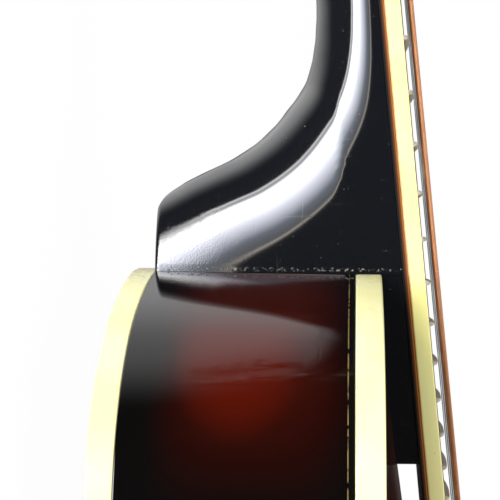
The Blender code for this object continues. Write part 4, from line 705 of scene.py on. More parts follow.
plateEdge = insetBy(body["bindingWall"] + seatGap) - centre
edgeAngle = np.arctan2(plateEdge[:, 1], plateEdge[:, 0])
angleOrder = np.argsort(edgeAngle)
edgeAngle, edgeReach = edgeAngle[angleOrder], np.linalg.norm(plateEdge, axis=1)[angleOrder]


def edgeShare(x, y):
    # How far a point lies from the arch's centre to the plate's edge, 0 to 1.
    x, y = np.asarray(x, float), np.asarray(y, float) - centre[1]
    return np.hypot(x, y) / np.interp(np.arctan2(y, x), edgeAngle, edgeReach, period=2 * math.pi)


def outerArch(share):
    # Half a cosine wave over the square of the share: flat in the middle, hollow at the edge.
    return body["archHeight"] * (1 + np.cos(math.pi * np.minimum(share, 1.0) ** 2)) / 2


def innerArch(share):
    reach = np.minimum(share / body["flatShare"], 1.0)
    return (body["archHeight"] + body["plateThinning"]) * (1 + np.cos(math.pi * reach ** 2)) / 2


def topHeight(x, y):
    return outerArch(edgeShare(x, y))


def makeBand(name, low, high, wall, ease, steps, *dress, support=None):
    # A wall of (depth inward, height) with rounded corners, carried round the outline of the body. Points just
    # inside the corners, where they are asked for, keep its outer face flat in its shading.
    corners = [(0.0, low), (0.0, high), (wall, high), (wall, low)]
    if support:
        corners[1:1] = [(0.0, low + support), (0.0, high - support)]
    profile = roundedProfile(corners, ease, steps)
    flat = outline[:, None] - outward[:, None] * profile[None, :, :1]
    rings = atHeight(flat, profile[:, 1])
    makePiece(name, [np.concatenate([rings, rings[:1]])], *dress)


def makeBodyShell():
    gap, top, low = 0.00004, -body["topBinding"], -body["depth"] + body["backBinding"]
    makeBand(
        "bodySides", low + gap, top - gap, body["rimWall"], 0.00012, 3, "side", "sunburst_side", "rim",
        support=0.0004,
    )
    for name, start, end, node in (
        ("topBinding", top, 0.0, "top_binding"), ("backBinding", -body["depth"], low, "back_binding"),
    ):
        wall, ease = body["bindingWall"], body["bindingEase"]
        makeBand(name, start, end, wall, ease, 5, "binding", "ivory_binding", node)
    print("body sides and bindings made")


soundHole = {
    "length": 0.084, "sway": 0.0085, "slot": 0.0056, "eye": 0.0048, "eyeShare": 0.93,
    "at": (0.070, -0.163), "lean": math.radians(7),
}


def plateRings(direction, count=60):
    # The plate's edge shrunk to the centre: outer face, then inner face, each ring at its arch's height.
    edge = insetBy(body["bindingWall"] + 0.00003)
    base, thickness = (0.0, body["topBinding"]) if direction > 0 else (-body["depth"], body["backBinding"])
    shares = np.linspace(0.004, 1.0, count)
    inner = shares[::-1]
    level = np.concatenate([outerArch(shares), innerArch(inner) - thickness]) * direction + base
    shares = np.concatenate([shares, inner])
    return atHeight(centre + shares[:, None, None] * (edge - centre)[None], level[:, None])


def soundHoleLines():
    # Per side an S from a sine wave, thinner to its ends, and a round eye at each end.
    t = np.linspace(-1, 1, 41)
    sway, length, eyeRadius = soundHole["sway"], soundHole["length"], soundHole["eye"]
    half = soundHole["slot"] / 2 * (1 - 0.45 * t ** 2)
    slope = sway * math.pi * 0.9 * np.cos(math.pi * t * 0.9) / (length / 2)
    across = np.column_stack([np.ones_like(t), -slope])
    across *= half[:, None] / np.linalg.norm(across, axis=1, keepdims=True)
    middle = np.column_stack([sway * np.sin(math.pi * t * 0.9), t * length / 2])
    edges = np.concatenate([middle - across, (middle + across)[::-1]])
    for side in (-1, 1):
        lean = side * soundHole["lean"]
        turn = np.array([[math.cos(lean), -math.sin(lean)], [math.sin(lean), math.cos(lean)]])
        at = soundHole["at"] * np.array([side, 1])
        yield (edges * [side, 1]) @ turn.T + at
        for end in (-1, 1):
            t = soundHole["eyeShare"] * end
            out = sway * math.sin(math.pi * t * 0.9) - end * eyeRadius * 0.75
            yield circle(eyeRadius, 40) + turn @ np.array([side * out, t * length / 2]) + at


def makePlates():
    for name, direction, look, node in (
        ("archedTop", 1, "top", "top_plate"), ("archedBack", -1, "back", "back_plate"),
    ):
        piece = makePiece(name, [plateRings(direction)], look, "sunburst_top", node, sharpAngle=50)
        if direction > 0:
            cutHoles(piece, [prismRings(flat, -0.03, 0.04) for flat in soundHoleLines()], 50)
        points = np.zeros(len(piece.data.vertices) * 3, np.float32)
        piece.data.vertices.foreach_get("co", points)
        points = points.reshape(-1, 3) - jointAt
        addFloat(piece.data, "edgeShare", edgeShare(points[:, 0], points[:, 1]))
    print("top and back made")


makeBodyShell()
makePlates()

# Neck, heel and headstock.
neck = {
    "slope": 0.0888, "boardZ": 0.0093, "boardThickness": 0.0047, "halfJoint": 0.019, "halfNut": 0.014,
    "scale": 0.3524, "jointFret": 14, "frets": 20, "boardTail": 0.0045, "nutThickness": 0.0050,
    "backAtNut": 0.0160, "backAtHeel": 0.0181, "heelStartY": 0.0626, "heelInset": 0.0049,
    "tipShare": 0.72, "roundDepth": 0.023, "cornerY": 0.0214, "capEase": 0.0007,
    "heelCurve": (
        (0.0030, 1.000), (0.0157, 1.000), (0.0183, 0.973), (0.0214, 0.880), (0.0243, 0.732),
        (0.0279, 0.539), (0.0328, 0.360), (0.0386, 0.218), (0.0441, 0.109), (0.0499, 0.051),
        (0.0554, 0.020), (0.0626, 0.000), (0.0700, 0.000),
    ),
    "supportLength": 0.0385, "supportInset": 0.0006,
}
head = {
    "angle": math.radians(14.4), "length": 0.120, "thickness": 0.014, "drop": 0.0025, "overlay": 0.0020,
    "outline": (
        (0.0150, -0.06), (0.0155, 0.02), (0.0200, 0.08), (0.0272, 0.15), (0.0292, 0.24),
        (0.0285, 0.55), (0.0300, 0.86), (0.0270, 0.935), (0.0140, 0.975), (0.0000, 1.000),
    ),
}
tilt = math.atan(neck["slope"])
heelTipZ = -body["depth"] + neck["heelInset"]


def fretY(number):
    # From the bridge each fret leaves 2^(-1/12) of the length before it.
    return nutY - neck["scale"] * (1 - 2 ** (-number / 12))


nutY = neck["scale"] * (1 - 2 ** (-neck["jointFret"] / 12))
boardEndY = fretY(neck["frets"]) - neck["boardTail"]


def neckToBody(points):
    # The neck's frame leans back by the tilt, its origin on the fingerboard at the joint.
    x, y, z = np.moveaxis(np.asarray(points, float), -1, 0)
    c, s = math.cos(tilt), math.sin(tilt)
    return np.stack([x, y * c + z * s, neck["boardZ"] - y * s + z * c], axis=-1)


def headToBody(points):
    # The head's frame leans further back, its origin on the face at the nut.
    x, y, z = np.moveaxis(np.asarray(points, float), -1, 0)
    c, s = math.cos(head["angle"]), math.sin(head["angle"])
    y, z = y * c + z * s, z * c - y * s
    return neckToBody(np.stack([x, y + nutY + neck["nutThickness"] + seatGap, z - head["drop"]], axis=-1))


def boardHalf(y):
    return neck["halfJoint"] + (neck["halfNut"] - neck["halfJoint"]) * np.asarray(y) / nutY


def evenCubic(x, knots):
    # Monotone cubic through the knots: slopes are the harmonic mean of the neighbouring spans' slopes.
    kx, ky = np.asarray(knots, float).T
    step = np.diff(kx)
    slope = np.diff(ky) / step
    product = slope[:-1] * slope[1:]
    total = np.where(product > 0, slope[:-1] + slope[1:], 1.0)
    m = np.concatenate([[slope[0]], np.where(product > 0, 2 * product / total, 0.0), [slope[-1]]])
    i = np.clip(np.searchsorted(kx, x) - 1, 0, len(step) - 1)
    h = step[i]
    t = np.clip((x - kx[i]) / h, 0, 1)
    return (
        (2 * t ** 3 - 3 * t ** 2 + 1) * ky[i] + (t ** 3 - 2 * t ** 2 + t) * h * m[i]
        + (3 * t ** 2 - 2 * t ** 3) * ky[i + 1] + (t ** 3 - t ** 2) * h * m[i + 1]
    )


def neckTopZ(y):
    return neck["boardZ"] - (neck["boardThickness"] + 0.0001) / math.cos(tilt) - y * math.tan(tilt)


def neckBackZ(y):
    share = np.maximum(0.0, (y - neck["heelStartY"]) / (nutY - neck["heelStartY"]))
    thickness = neck["backAtHeel"] + (neck["backAtNut"] - neck["backAtHeel"]) * share
    line = neck["boardZ"] - y * math.tan(tilt) - thickness
    return line + evenCubic(y, neck["heelCurve"]) * (heelTipZ - line)


def halfRound(power, count):
    # A superellipse's lower half by polar angle: r = (|cos|^p + |sin|^p)^(-1/p).
    angle = np.linspace(0, math.pi, count)[None, :]
    c, s, power = np.cos(angle), np.sin(angle), power[:, None]
    r = (np.abs(c) ** power + np.abs(s) ** power) ** (-1 / power)
    return r * c, r * s


def backCurve():
    # The line of the neck's back and of the heel, run on straight past the heel's tip.
    y = np.linspace(neck["cornerY"], nutY + 0.03, 1500)
    line = np.column_stack([y, neckBackZ(y)])
    step = (line[0] - line[9]) / np.linalg.norm(line[0] - line[9])
    beyond = line[0] + step * np.linspace(0.020, 0.0, 160, endpoint=False)[:, None]
    return np.concatenate([beyond, line])


def depthFromBack(y, z):
    # The least distance from each point of the side view to the back's line.
    curve = backCurve()
    gap = np.hypot(curve[None, :, 0] - np.ravel(y)[:, None], curve[None, :, 1] - np.ravel(z)[:, None])
    return gap.min(axis=1).reshape(np.shape(y))


def neckHalfWidth(y, z, top):
    # Full beyond a depth from the back, a quarter ellipse within it, narrower toward the heel's tip. The
    # depth is the lesser of the heel's and the neck's own, blended where they meet.
    ownDepth = depthFromBack(y[:, :1], top[:, None])
    fullDepth = (neck["roundDepth"] ** -6.0 + ownDepth ** -6.0) ** (-1 / 6)
    share = np.minimum(1.0, depthFromBack(y, z) / fullDepth)
    rounding = np.sqrt(1 - (1 - share) ** 2)
    depthShare = (top[:, None] - z) / (neckTopZ(0.0) - heelTipZ)
    narrowing = 1 - (1 - neck["tipShare"]) * np.maximum(0.0, depthShare - 0.2) / 0.8
    return (boardHalf(y) - body["glue"]) * rounding * narrowing


def blendToHead(rings, y):
    # Toward the nut each ring turns into the head's squarer superellipse.
    share = smoothStep((y - (nutY - 0.022)) / 0.040)
    top, bottom = neckTopZ(y)[:, None], neckBackZ(y)[:, None]
    across, down = halfRound(2.0 + 2.2 * share, rings.shape[1])
    squarer = np.stack([
        (boardHalf(y)[:, None] - body["glue"]) * across, y[:, None] + 0 * across,
        top - (top - bottom) * down,
    ], axis=-1)
    blend = smoothStep((y - (nutY - 0.06)) / 0.030)[:, None, None]
    return rings * (1 - blend) + squarer * blend


def headCurve():
    # Half of the headstock's outline, as (length, half width).
    flat = np.array(head["outline"])[:, ::-1] * [head["length"], 1.0]
    return smoothCurve(flat, 12, closed=False)


def makeNeck():
    # One loft from the heel to the headstock's tip: flat on top, round at the back, cut flat at the heel's
    # tip, and nearly a box in the head.
    count, ease = 97, neck["capEase"]
    y = np.concatenate([np.linspace(0.0033, 0.0660, 150), np.linspace(0.0672, nutY - 0.004, 60)])
    top, bottom = neckTopZ(y), neckBackZ(y)
    z = top[:, None] - (top - bottom)[:, None] * np.sin(np.linspace(0, math.pi / 2, count // 2))
    yy = y[:, None] + 0 * z
    x = neckHalfWidth(yy, z, top)
    # The cap's edge is eased: a quarter circle at the end of the depth.
    over = np.clip(1 - (z - heelTipZ) / ease, 0.0, 1.0)
    x = np.maximum(x - ease * (1 - np.sqrt(1 - over ** 2)), 0.0)
    middle = np.column_stack([0 * y, y, bottom])
    right = np.stack([x, yy, z], axis=-1)
    rings = np.concatenate([right, middle[:, None], right[:, ::-1] * [-1, 1, 1]], axis=1)
    rings = blendToHead(rings, y)
    # The heel's face follows the body's end: the outline's Y at each X, and a hair of glue.
    near = outline[(np.abs(outline[:, 0]) < 0.03) & (outline[:, 1] > -0.02)]
    near = near[np.argsort(near[:, 0])]
    rings[0, :, 1] = np.interp(rings[0, :, 0], *near.T) + body["glue"]
    # The head: the outline's half width against its length, a deep superellipse between two planes.
    curve = headCurve()
    curve = curve[(curve[:, 0] > -0.002) & (curve[:, 1] > 0.0004)]
    across, down = halfRound(2.2 + 9.8 * smoothStep((curve[:, 0] + 0.014) / 0.034), count)
    depth = head["thickness"] - head["overlay"]
    headRings = headToBody(np.stack([
        curve[:, 1:] * across, curve[:, :1] + 0 * across, -head["overlay"] - body["glue"] - depth * down,
    ], axis=-1))
    rings = np.concatenate([rings, headRings])
    makePiece("neckAndHead", [rings], "lacquer", "lacquer_black", "neck", sharpAngle=50)
    print("neck made")


def makeSupport():
    # Under the fingerboard's free end: a block whose foot follows the arch of the top.
    y = np.linspace(0.0045, -neck["supportLength"], 40)[:, None]
    x = (boardHalf(y) - neck["supportInset"]) * np.linspace(1, -1, 33)
    foot = np.maximum(topHeight(x, np.minimum(y, 0.0)), 0.0) + body["glue"]
    foot[y[:, 0] > 0.0] = -0.002
    yy = y + 0 * x
    upper = np.stack([x, yy, neckTopZ(y) + 0 * x], axis=-1)[:, ::-1]
    rings = np.concatenate([upper, np.stack([x, yy, foot], axis=-1)], axis=1)
    makePiece("boardSupport", [rings], "lacquer", "lacquer_black", sharpAngle=30)
    print("support made")


def makeHeadFace():
    start = 0.0003
    curve = headCurve()
    curve = curve[curve[:, 0] > start]
    half = np.concatenate([[[start, curve[0, 1]]], curve])[:, ::-1]
    flat = np.concatenate([half, (half * [-1, 1])[-2::-1]])
    rings = headToBody(prismRings(flat, -head["overlay"], 0.0, 0.0003))
    makePiece("headFace", [rings], "lacquer", "ebony", "headstock_overlay", sharpAngle=30)


makeNeck()
makeSupport()
makeHeadFace()

# Fingerboard, frets and nut.
board = {
    "bindingWall": 0.0016, "drop": 0.0011, "crown": 0.00060, "fretWidth": 0.0011, "fretHeight": 0.00095,
    "fretRoot": -0.0012, "dotRadius": 0.0030,
    "dots": ((3, 0.0), (5, 0.0), (7, 0.0), (10, 0.0), (12, -0.0075), (12, 0.0075), (15, 0.0), (17, 0.0)),
}
board["low"] = -neck["boardThickness"]
board["step"] = board["low"] + board["drop"]


def boardSurface(x, y):
    return board["crown"] * (1 - (x / boardHalf(y)) ** 2)


def makeBoard():
    # The wood: full width at the bottom, stepped in for the binding, the top a shallow parabola across.
    y = np.linspace(boardEndY, nutY, 90)[:, None]
    full = boardHalf(y)
    inner = full - board["bindingWall"]
    topX = inner * np.linspace(1, -1, 25)
    low, step = board["low"] + 0 * y, board["step"] + 0 * y
    x = np.hstack([-full, full, full, inner, topX, -inner, -full])
    z = np.hstack([low, low, step, step, boardSurface(topX, y), step, step])
    rings = neckToBody(np.stack([x, y + 0 * x, z], axis=-1))
    wood = makePiece("fingerboardWood", [rings], "rosewood", "rosewood", "fingerboard", sharpAngle=30)
    rise = 0.15 + 0.85 * (z - board["low"]) / board["drop"]
    edge = np.where(np.abs(x) > inner + 0.0001, rise, 0.0)
    addFloat(wood.data, "edgeHeight", np.append(edge, [0, 0]))


def makeBoardEdge():
    # A U of binding: its section rises from the step to the board's edge, its top eased.
    wall, low = board["bindingWall"], board["step"]
    section = roundedProfile([(0.0, low), (0.0, 0.0), (wall, 0.0), (wall, low)], 0.00032, 4)
    y = np.linspace(nutY, boardEndY - wall, 80)
    side = np.column_stack([boardHalf(y), y])
    line = np.concatenate([side, (side * [-1, 1])[::-1]])
    inward = np.zeros_like(line)
    inward[:, 0] = -np.sign(line[:, 0])
    inward[[len(y) - 1, len(y)], 1] = 1.0
    rings = atHeight(line[:, None] + inward[:, None] * section[None, :, :1], section[:, 1])
    edge = makePiece(
        "fingerboardEdge", [neckToBody(rings)], "boardBinding", "ivory_binding", "fingerboard_binding",
        sharpAngle=50,
    )
    edge.visible_glossy = False
    share = (rings[..., 2] - low) / (0.0 - low)
    addFloat(edge.data, "edgeHeight", np.append(share, [0.5, 0.5]))


def makeFrets():
    # Each fret is a half round carried across the board, falling with the crown and eased at its ends.
    y = fretY(np.arange(1, neck["frets"] + 1))[:, None, None]
    ends = np.array([0.965, 0.985, 0.995, 1])
    u = np.concatenate([-ends[::-1], np.linspace(-0.93, 0.93, 13), ends])[None, :, None]
    lift = np.sqrt(np.clip(1 - ((np.abs(u) - 0.955) / 0.047).clip(0) ** 2, 0.08, 1))
    angle = np.linspace(0, math.pi, 11)
    across = np.concatenate([[1.0], np.cos(angle), [-1.0]]) * board["fretWidth"] / 2
    root = [board["fretRoot"]]
    rise = np.concatenate([root, board["fretHeight"] * np.sin(angle) ** 0.8, root])
    x = (boardHalf(y) - 0.00012) * u + 0 * across
    yy = y + across + 0 * x
    z = boardSurface(x, yy) + np.where(rise > 0, rise * lift, rise)
    sets = neckToBody(np.stack([x, yy, z], axis=-1))
    makePiece("fretWires", list(sets), "fret", "nickel", sharpAngle=50)


def makeDots():
    shells = []
    for fret, x in board["dots"]:
        y = (fretY(fret) + fretY(fret - 1)) / 2
        rings = []
        for share, lift in ((1.0, -0.0008), (1.0, 0.00002), (0.97, 0.00004)):
            flat = circle(board["dotRadius"] * share, 32, (x, y))
            rings.append(atHeight(flat, boardSurface(flat[:, 0], y) + lift))
        shells.append(neckToBody(rings))
    makePiece("positionDots", shells, "pearl", "ivory_binding", sharpAngle=50)


strings = {
    "radius": {"g": 0.00044, "d": 0.00030, "a": 0.00020, "e": 0.00014},
    "nutX": {"g": -0.0108, "d": -0.0036, "a": 0.0036, "e": 0.0108},
    "bridgeX": {"g": -0.0192, "d": -0.0064, "a": 0.0064, "e": 0.0192},
    "nutPair": 0.0009, "bridgePair": 0.0012, "actionNut": 0.0013, "actionJoint": 0.0022,
    "turns": 2.25, "wrapStart": 0.0022, "wrapGap": 0.0005, "clear": 0.0002, "sides": 14,
}
courses = [(note, sign) for note in "gdae" for sign in (-1, 1)]


def pairX(end):
    # The eight strings' places across, at the "nut" or the "bridge".
    return np.array([strings[end + "X"][note] + sign * strings[end + "Pair"] for note, sign in courses])


def makeNut():
    # A bar of bone: its top falls towards the head and has a round-bottomed slot under each string.
    slots = pairX("nut")[:, None]
    x = np.unique(np.concatenate([
        np.linspace(-neck["halfNut"], neck["halfNut"], 90), (slots + np.linspace(-0.0006, 0.0006, 9)).ravel(),
    ]))
    notch = 0.0006 * np.clip(1 - (np.abs(x - slots).min(axis=0) / 0.00055) ** 2, 0, 1)
    front, back, top = nutY + body["glue"], nutY + neck["nutThickness"], strings["actionNut"] + 0.0002
    profile = np.array([
        (front, board["low"]), (front, top - 0.0004), (front + 0.0005, top), (front + 0.002, top - 0.0003),
        (back - 0.0006, top - 0.0013), (back, top - 0.0020), (back, board["low"]),
    ])
    onTop = np.array([0, 1, 1, 1, 1, 1, 0])
    flats = np.stack([profile[:, 0] + 0 * x[:, None], profile[:, 1] - notch[:, None] * onTop], axis=-1)
    makePiece("boneNut", [neckToBody(sectionsAt(x, flats))], "bone", "bone", "nut", sharpAngle=40)


makeBoard()
makeBoardEdge()
makeFrets()
makeDots()
makeNut()
print("fingerboard made")

# Strings, and what they run over.
tuners = {"x": 0.0175, "firstY": 0.030, "spacing": 0.023, "waist": 0.0024}
bridge = {
    "localY": nutY - neck["scale"], "halfLength": 0.056, "halfDepth": 0.0048, "baseHeight": 0.0040,
    "studX": 0.0275, "studRadius": 0.0018, "studIn": 0.0026, "holeSpare": 0.0022,
    "wheelRadius": 0.0066, "wheelThickness": 0.0020, "wheelLift": 0.0018,
    "saddleHalf": 0.0345, "saddleDepth": 0.0040, "crestHalf": 0.0011, "wing": 0.0024, "footGap": 0.00004,
}
tail = {
    "reach": 0.046, "sheet": 0.0014, "lift": 0.0022, "halfWidth": 0.024, "drop": 0.040, "corner": 0.004,
    "hookRadius": 0.0009, "hookHeight": 0.0048, "rowInset": 0.0150, "rowStep": 0.0065, "pairHalf": 0.0019,
    "coverWall": 0.0010, "coverHeight": 0.0105, "coverLength": 0.045, "coverEase": 0.0007,
    "strapZ": -body["depth"] / 2,
}


def action(y):
    return strings["actionJoint"] + (strings["actionNut"] - strings["actionJoint"]) * y / nutY


def tailTop(y):
    climb = float(topHeight(0.0, tailY + tail["reach"]))
    return tail["lift"] + tail["sheet"] + climb * (y - tailY) / tail["reach"]


def hookAt(note, sign):
    x = strings["bridgeX"][note] * 0.80 + sign * tail["pairHalf"]
    y = tailY + tail["rowInset"] + (tail["rowStep"] if sign > 0 else 0.0)
    return np.array([x, y, tailTop(y)])


def stringPaths(index):
    # Two lines that meet on the saddle: from the wraps on the post over the nut, and on to the loop round the
    # hook. With each comes its still end: the nut, and the hook.
    note, sign = courses[index]
    side, tuner = (-1, index) if index < 4 else (1, 7 - index)
    radius, nutX, bridgeX = strings["radius"][note], pairX("nut")[index], pairX("bridge")[index]
    post = np.array([side * tuners["x"], tuners["firstY"] + tuner * tuners["spacing"]])
    reach = tuners["waist"] + strings["clear"] + radius
    leave = np.array([nutX, -0.0012]) - post
    startAngle = math.atan2(leave[1], leave[0]) - side * math.acos(reach / np.linalg.norm(leave))
    turns = np.linspace(strings["turns"], 0, int(strings["turns"] * 36))
    height = strings["wrapStart"] + radius + turns * (2 * radius + strings["wrapGap"])
    wraps = headToBody(atHeight(post + polar(reach, startAngle - side * 2 * math.pi * turns), height))
    nutZ = strings["actionNut"] + radius
    overNut = neckToBody([
        (nutX, nutY + neck["nutThickness"], nutZ - 0.0001), (nutX, nutY + 0.0025, nutZ), (nutX, nutY, nutZ),
    ])
    saddle = neckToBody([bridgeX, bridge["localY"], action(bridge["localY"]) + radius])
    overSaddle = saddle + np.array([(0, 0.0011, 0), (0, 0, 0.00003), (0, -0.0011, 0)])
    hook = hookAt(note, sign)
    loop, z = tail["hookRadius"] + strings["clear"] + radius, hook[2] + 0.0010 + radius
    ring = atHeight(hook[:2] + polar(loop, np.radians(np.linspace(40, -212, 22))), z)
    leadIn = np.array([(hook[0] + loop * 0.3, hook[1] + 3.2 * loop, z + 0.0002)])
    front = np.concatenate([wraps, overNut, overSaddle[:2]])
    return (front, overNut[2]), (np.concatenate([overSaddle[1:], leadIn, ring]), leadIn[0])


def wireMesh(name, path, radius, sides):
    # Long spans of the path are split, so that the winding stays even along it.
    along = np.concatenate([[0], np.cumsum(np.linalg.norm(np.diff(path, axis=0), axis=1))])
    wanted = np.unique(np.concatenate([along, np.arange(0, along[-1], 0.0018)]))
    wanted = wanted[np.concatenate([[True], np.diff(wanted) > 1e-5])]
    path = np.column_stack([np.interp(wanted, along, path[:, k]) for k in range(3)])
    rings = sweptRings(path, radius, sides, (0.0, 0.3334, 0.9428))
    mesh = shellsMesh(name, [toWorld(rings)], 60)
    addFloat(mesh, "along", np.concatenate([np.repeat(wanted, sides), wanted[[0, -1]]]))
    # The angle wraps at one seam, where the sine that reads it repeats.
    addFloat(mesh, "aroundAngle", np.append(np.tile(fullTurn(sides), len(wanted)), [0, 0]))
    return mesh


def makeStrings():
    # Each string is two pieces that meet on the saddle: one from the post over the nut, and one on to the hook.
    for index, (note, sign) in enumerate(courses):
        number = 1 if sign < 0 else 2
        look, slot = ("wound", "wound_bronze") if note in "gd" else ("steel", "plain_steel")
        for part, (path, still) in zip(("", "Tail"), stringPaths(index)):
            name = f"string{note.upper()}{number}{part}"
            mesh = wireMesh(name, path, strings["radius"][note], strings["sides"])
            mesh.materials.append(finish[look])
            piece = inScene(name, mesh)
            crest = path[0] if part else path[-1]
            tuple(toWorld(still))
            tuple(toWorld(crest))
            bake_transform(piece)
            if not part:
                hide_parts(f"string_{note}_{number}")
    print("strings made")


makeStrings()


# Tuners, their plates and the cover over the truss rod.
def onAxis(origin, axis, across=(1.0, 0.0, 0.0)):
    # Gives a function that stands points with their Z along an axis at a point of the body's frame.
    axis = np.asarray(axis, float) / np.linalg.norm(axis)
    sideways = np.asarray(across, float) - axis * np.dot(across, axis)
    sideways /= np.linalg.norm(sideways)
    basis = np.array([sideways, np.cross(axis, sideways), axis])
    return lambda points: points @ basis + origin


gear = {
    "teeth": 15, "pitch": 0.001676, "thickness": 0.0034, "tooth": 0.0011, "tip": 0.09, "root": 0.27,
    "clearance": 0.00022, "wormRadius": 0.0023, "wormLength": 0.0042,
}
gear["radius"] = gear["teeth"] * gear["pitch"] / (2 * math.pi)
gear["offset"] = gear["radius"] + gear["wormRadius"]
tunerPlate = {
    "thickness": 0.0012, "half": 0.0075, "below": 0.006, "beyond": 0.009, "corner": 0.0026,
    "screwAfter": (0.0096, 0.0096, 0.0096, 0.0066), "screw": (0.0017, 0.0007),
}
tunerPlate["back"] = -head["thickness"] - seatGap - tunerPlate["thickness"]
gear["z"] = tunerPlate["back"] - seatGap - gear["wormRadius"] - gear["tooth"] / 2
post = {
    "radius": 0.0030, "standing": 0.0110, "foot": 0.0024, "crownEase": 0.0011, "waistEase": 0.0007,
    "waistLow": -0.0010, "waistHigh": 0.0052, "screw": (0.0021, 0.0010), "collar": 0.0050, "bore": 0.0034,
}
shaft = {
    "radius": 0.00125, "inner": -0.0046, "reach": 0.0190, "button": 0.0115, "high": 0.0064, "thick": 0.0029,
    "shankHigh": 0.0040, "shankThick": 0.0026, "widest": 0.42,
}
ear = {"thickness": 0.0014, "outer": 0.0030, "inner": 0.00208, "down": 0.0026, "up": 0.00375}


def rootAndCrest(radius):
    # How far a tooth's root and crest lie from the axis.
    half, clearance = gear["tooth"] / 2, gear["clearance"]
    return radius - half - clearance, radius + half - clearance / 2


def shaftRings():
    # Plain shaft and worm along X. The worm's radius goes from root to crest with the distance from the
    # thread's line, which runs once round for each pitch.
    half, inner = gear["wormLength"] / 2, shaft["inner"]
    x = np.concatenate([
        [inner, inner + 0.0002, -half - 0.0001], np.linspace(-half, half, 81),
        [half + 0.0001, 0.0150, 0.0154, 0.0158, 0.0184, 0.0188, 0.0205],
    ])[:, None]
    plain = np.full_like(x, shaft["radius"])
    plain[0] -= 0.0002
    plain[-5:-1, 0] += (0.0004, 0.0008, 0.0008, 0.0005)
    root, crest = rootAndCrest(gear["wormRadius"])
    angle = fullTurn(36)
    phase = 2 * math.pi * x / gear["pitch"] + math.pi / 6 - angle
    share = np.abs((phase + math.pi) % (2 * math.pi) - math.pi) / math.pi
    thread = root + (crest - root) * smoothStep((share - 0.36) / 0.40)
    reach = np.where(np.abs(x) <= half, thread, plain)
    return atHeight(polar(reach, angle), x)[..., [2, 0, 1]]


def buttonRings():
    # An oval button: it widens from its shank with an S curve, then closes as a quarter of a superellipse.
    widest = shaft["widest"]
    fall = np.sin(np.linspace(0, math.pi / 2, 22))[1:]
    t = np.concatenate([widest * np.linspace(0, 1, 12), widest + (1 - widest) * fall])
    grow = smoothStep(t / widest)
    close = np.clip(1 - np.maximum(0, (t - widest) / (1 - widest)) ** 2.3, 0, 1) ** 0.5
    close = np.maximum(close, 0.02)
    high = (shaft["shankHigh"] + (shaft["high"] - shaft["shankHigh"]) * grow) * close
    thick = (shaft["shankThick"] + (shaft["thick"] - shaft["shankThick"]) * grow) * close ** 0.8
    unit = circle(1.0, 40)
    unit /= (np.abs(unit) ** 2.4).sum(axis=1, keepdims=True) ** (1 / 2.4)
    flat = unit * np.column_stack([thick, high])[:, None]
    return atHeight(flat, (shaft["reach"] + t * shaft["button"])[:, None])[..., [2, 0, 1]]


def gearRings():
    # Trapezoid teeth with eased corners; each level is turned by the lead of the worm's thread.
    root, tip = rootAndCrest(gear["radius"])
    step = 2 * math.pi / gear["teeth"]
    middle = np.arange(gear["teeth"])[:, None] * step - math.pi / 2
    angle = (middle + np.array([-gear["root"], -gear["tip"], gear["tip"], gear["root"]]) * step).ravel()
    flat = roundedProfile(polar(np.tile([root, tip, tip, root], gear["teeth"]), angle), 0.00012, 3)
    half, ease, rings = gear["thickness"] / 2, 0.00015, []
    for level, share in ((-half, 0.97), (ease - half, 1.0), (0.0, 1.0), (half - ease, 1.0), (half, 0.97)):
        twist = level * gear["pitch"] / (2 * math.pi * gear["wormRadius"] * gear["radius"])
        c, s = math.cos(twist), math.sin(twist)
        rings.append(atHeight(flat @ np.array([(c, s), (-s, c)]) * share, level + gear["z"]))
    return np.stack(rings)


def postShells():
    # The post stands through the head: rounded top, waist for the string, gear and its screw at the back.
    outer, top, ease = post["radius"], post["standing"], post["waistEase"]
    low, high = (strings["wrapStart"] + post[end] for end in ("waistLow", "waistHigh"))
    t = np.linspace(0, 1, 7)
    taper = (outer - tuners["waist"]) * smoothStep(t)
    screwZ = gear["z"] - gear["thickness"] / 2 - 0.0001
    profile = np.concatenate([
        [(0.0006, top)], easedCorner(outer, top, post["crownEase"]),
        np.column_stack([outer - taper, high + ease - ease * t]),
        np.column_stack([tuners["waist"] + taper, low - ease * t]),
        [(outer, -head["thickness"]), (post["foot"], screwZ)],
    ])
    screw = [rings * [1, -1, -1] + [0, 0, screwZ] for rings in screwHead(*post["screw"], 0.7)]
    return [turnedRings(profile, 40), gearRings(), *screw]


def earRings():
    # A bearing round the shaft, by polar angle: a superellipse with its own half size in each quarter.
    angle = fullTurn(48)
    c, s = np.cos(angle), np.sin(angle)
    wide, tall = np.where(c > 0, ear["inner"], ear["outer"]), np.where(s > 0, ear["up"], ear["down"])
    reach = ((np.abs(c) / wide) ** 5 + (np.abs(s) / tall) ** 5) ** -0.2
    bore, half = circle(shaft["radius"] + seatGap, 48), ear["thickness"] / 2
    return holedRings(polar(reach, angle), bore, -half, half, 0.0002)[..., [2, 0, 1]]


def makeTunerPlate(label, x, holes):
    startY = tuners["firstY"] - gear["offset"] - tunerPlate["below"]
    endY = tuners["firstY"] + 3 * tuners["spacing"] + tunerPlate["beyond"]
    flat = roundedBox(tunerPlate["half"], (endY - startY) / 2, tunerPlate["corner"]) + [x, (startY + endY) / 2]
    rings = prismRings(flat, tunerPlate["back"], tunerPlate["back"] + tunerPlate["thickness"], 0.0002)
    name = f"tunerPlate{label.capitalize()}"
    plate = makePiece(name, [headToBody(rings)], "nickel", "nickel", f"tuner_plate_{label}")
    cutHoles(plate, holes)


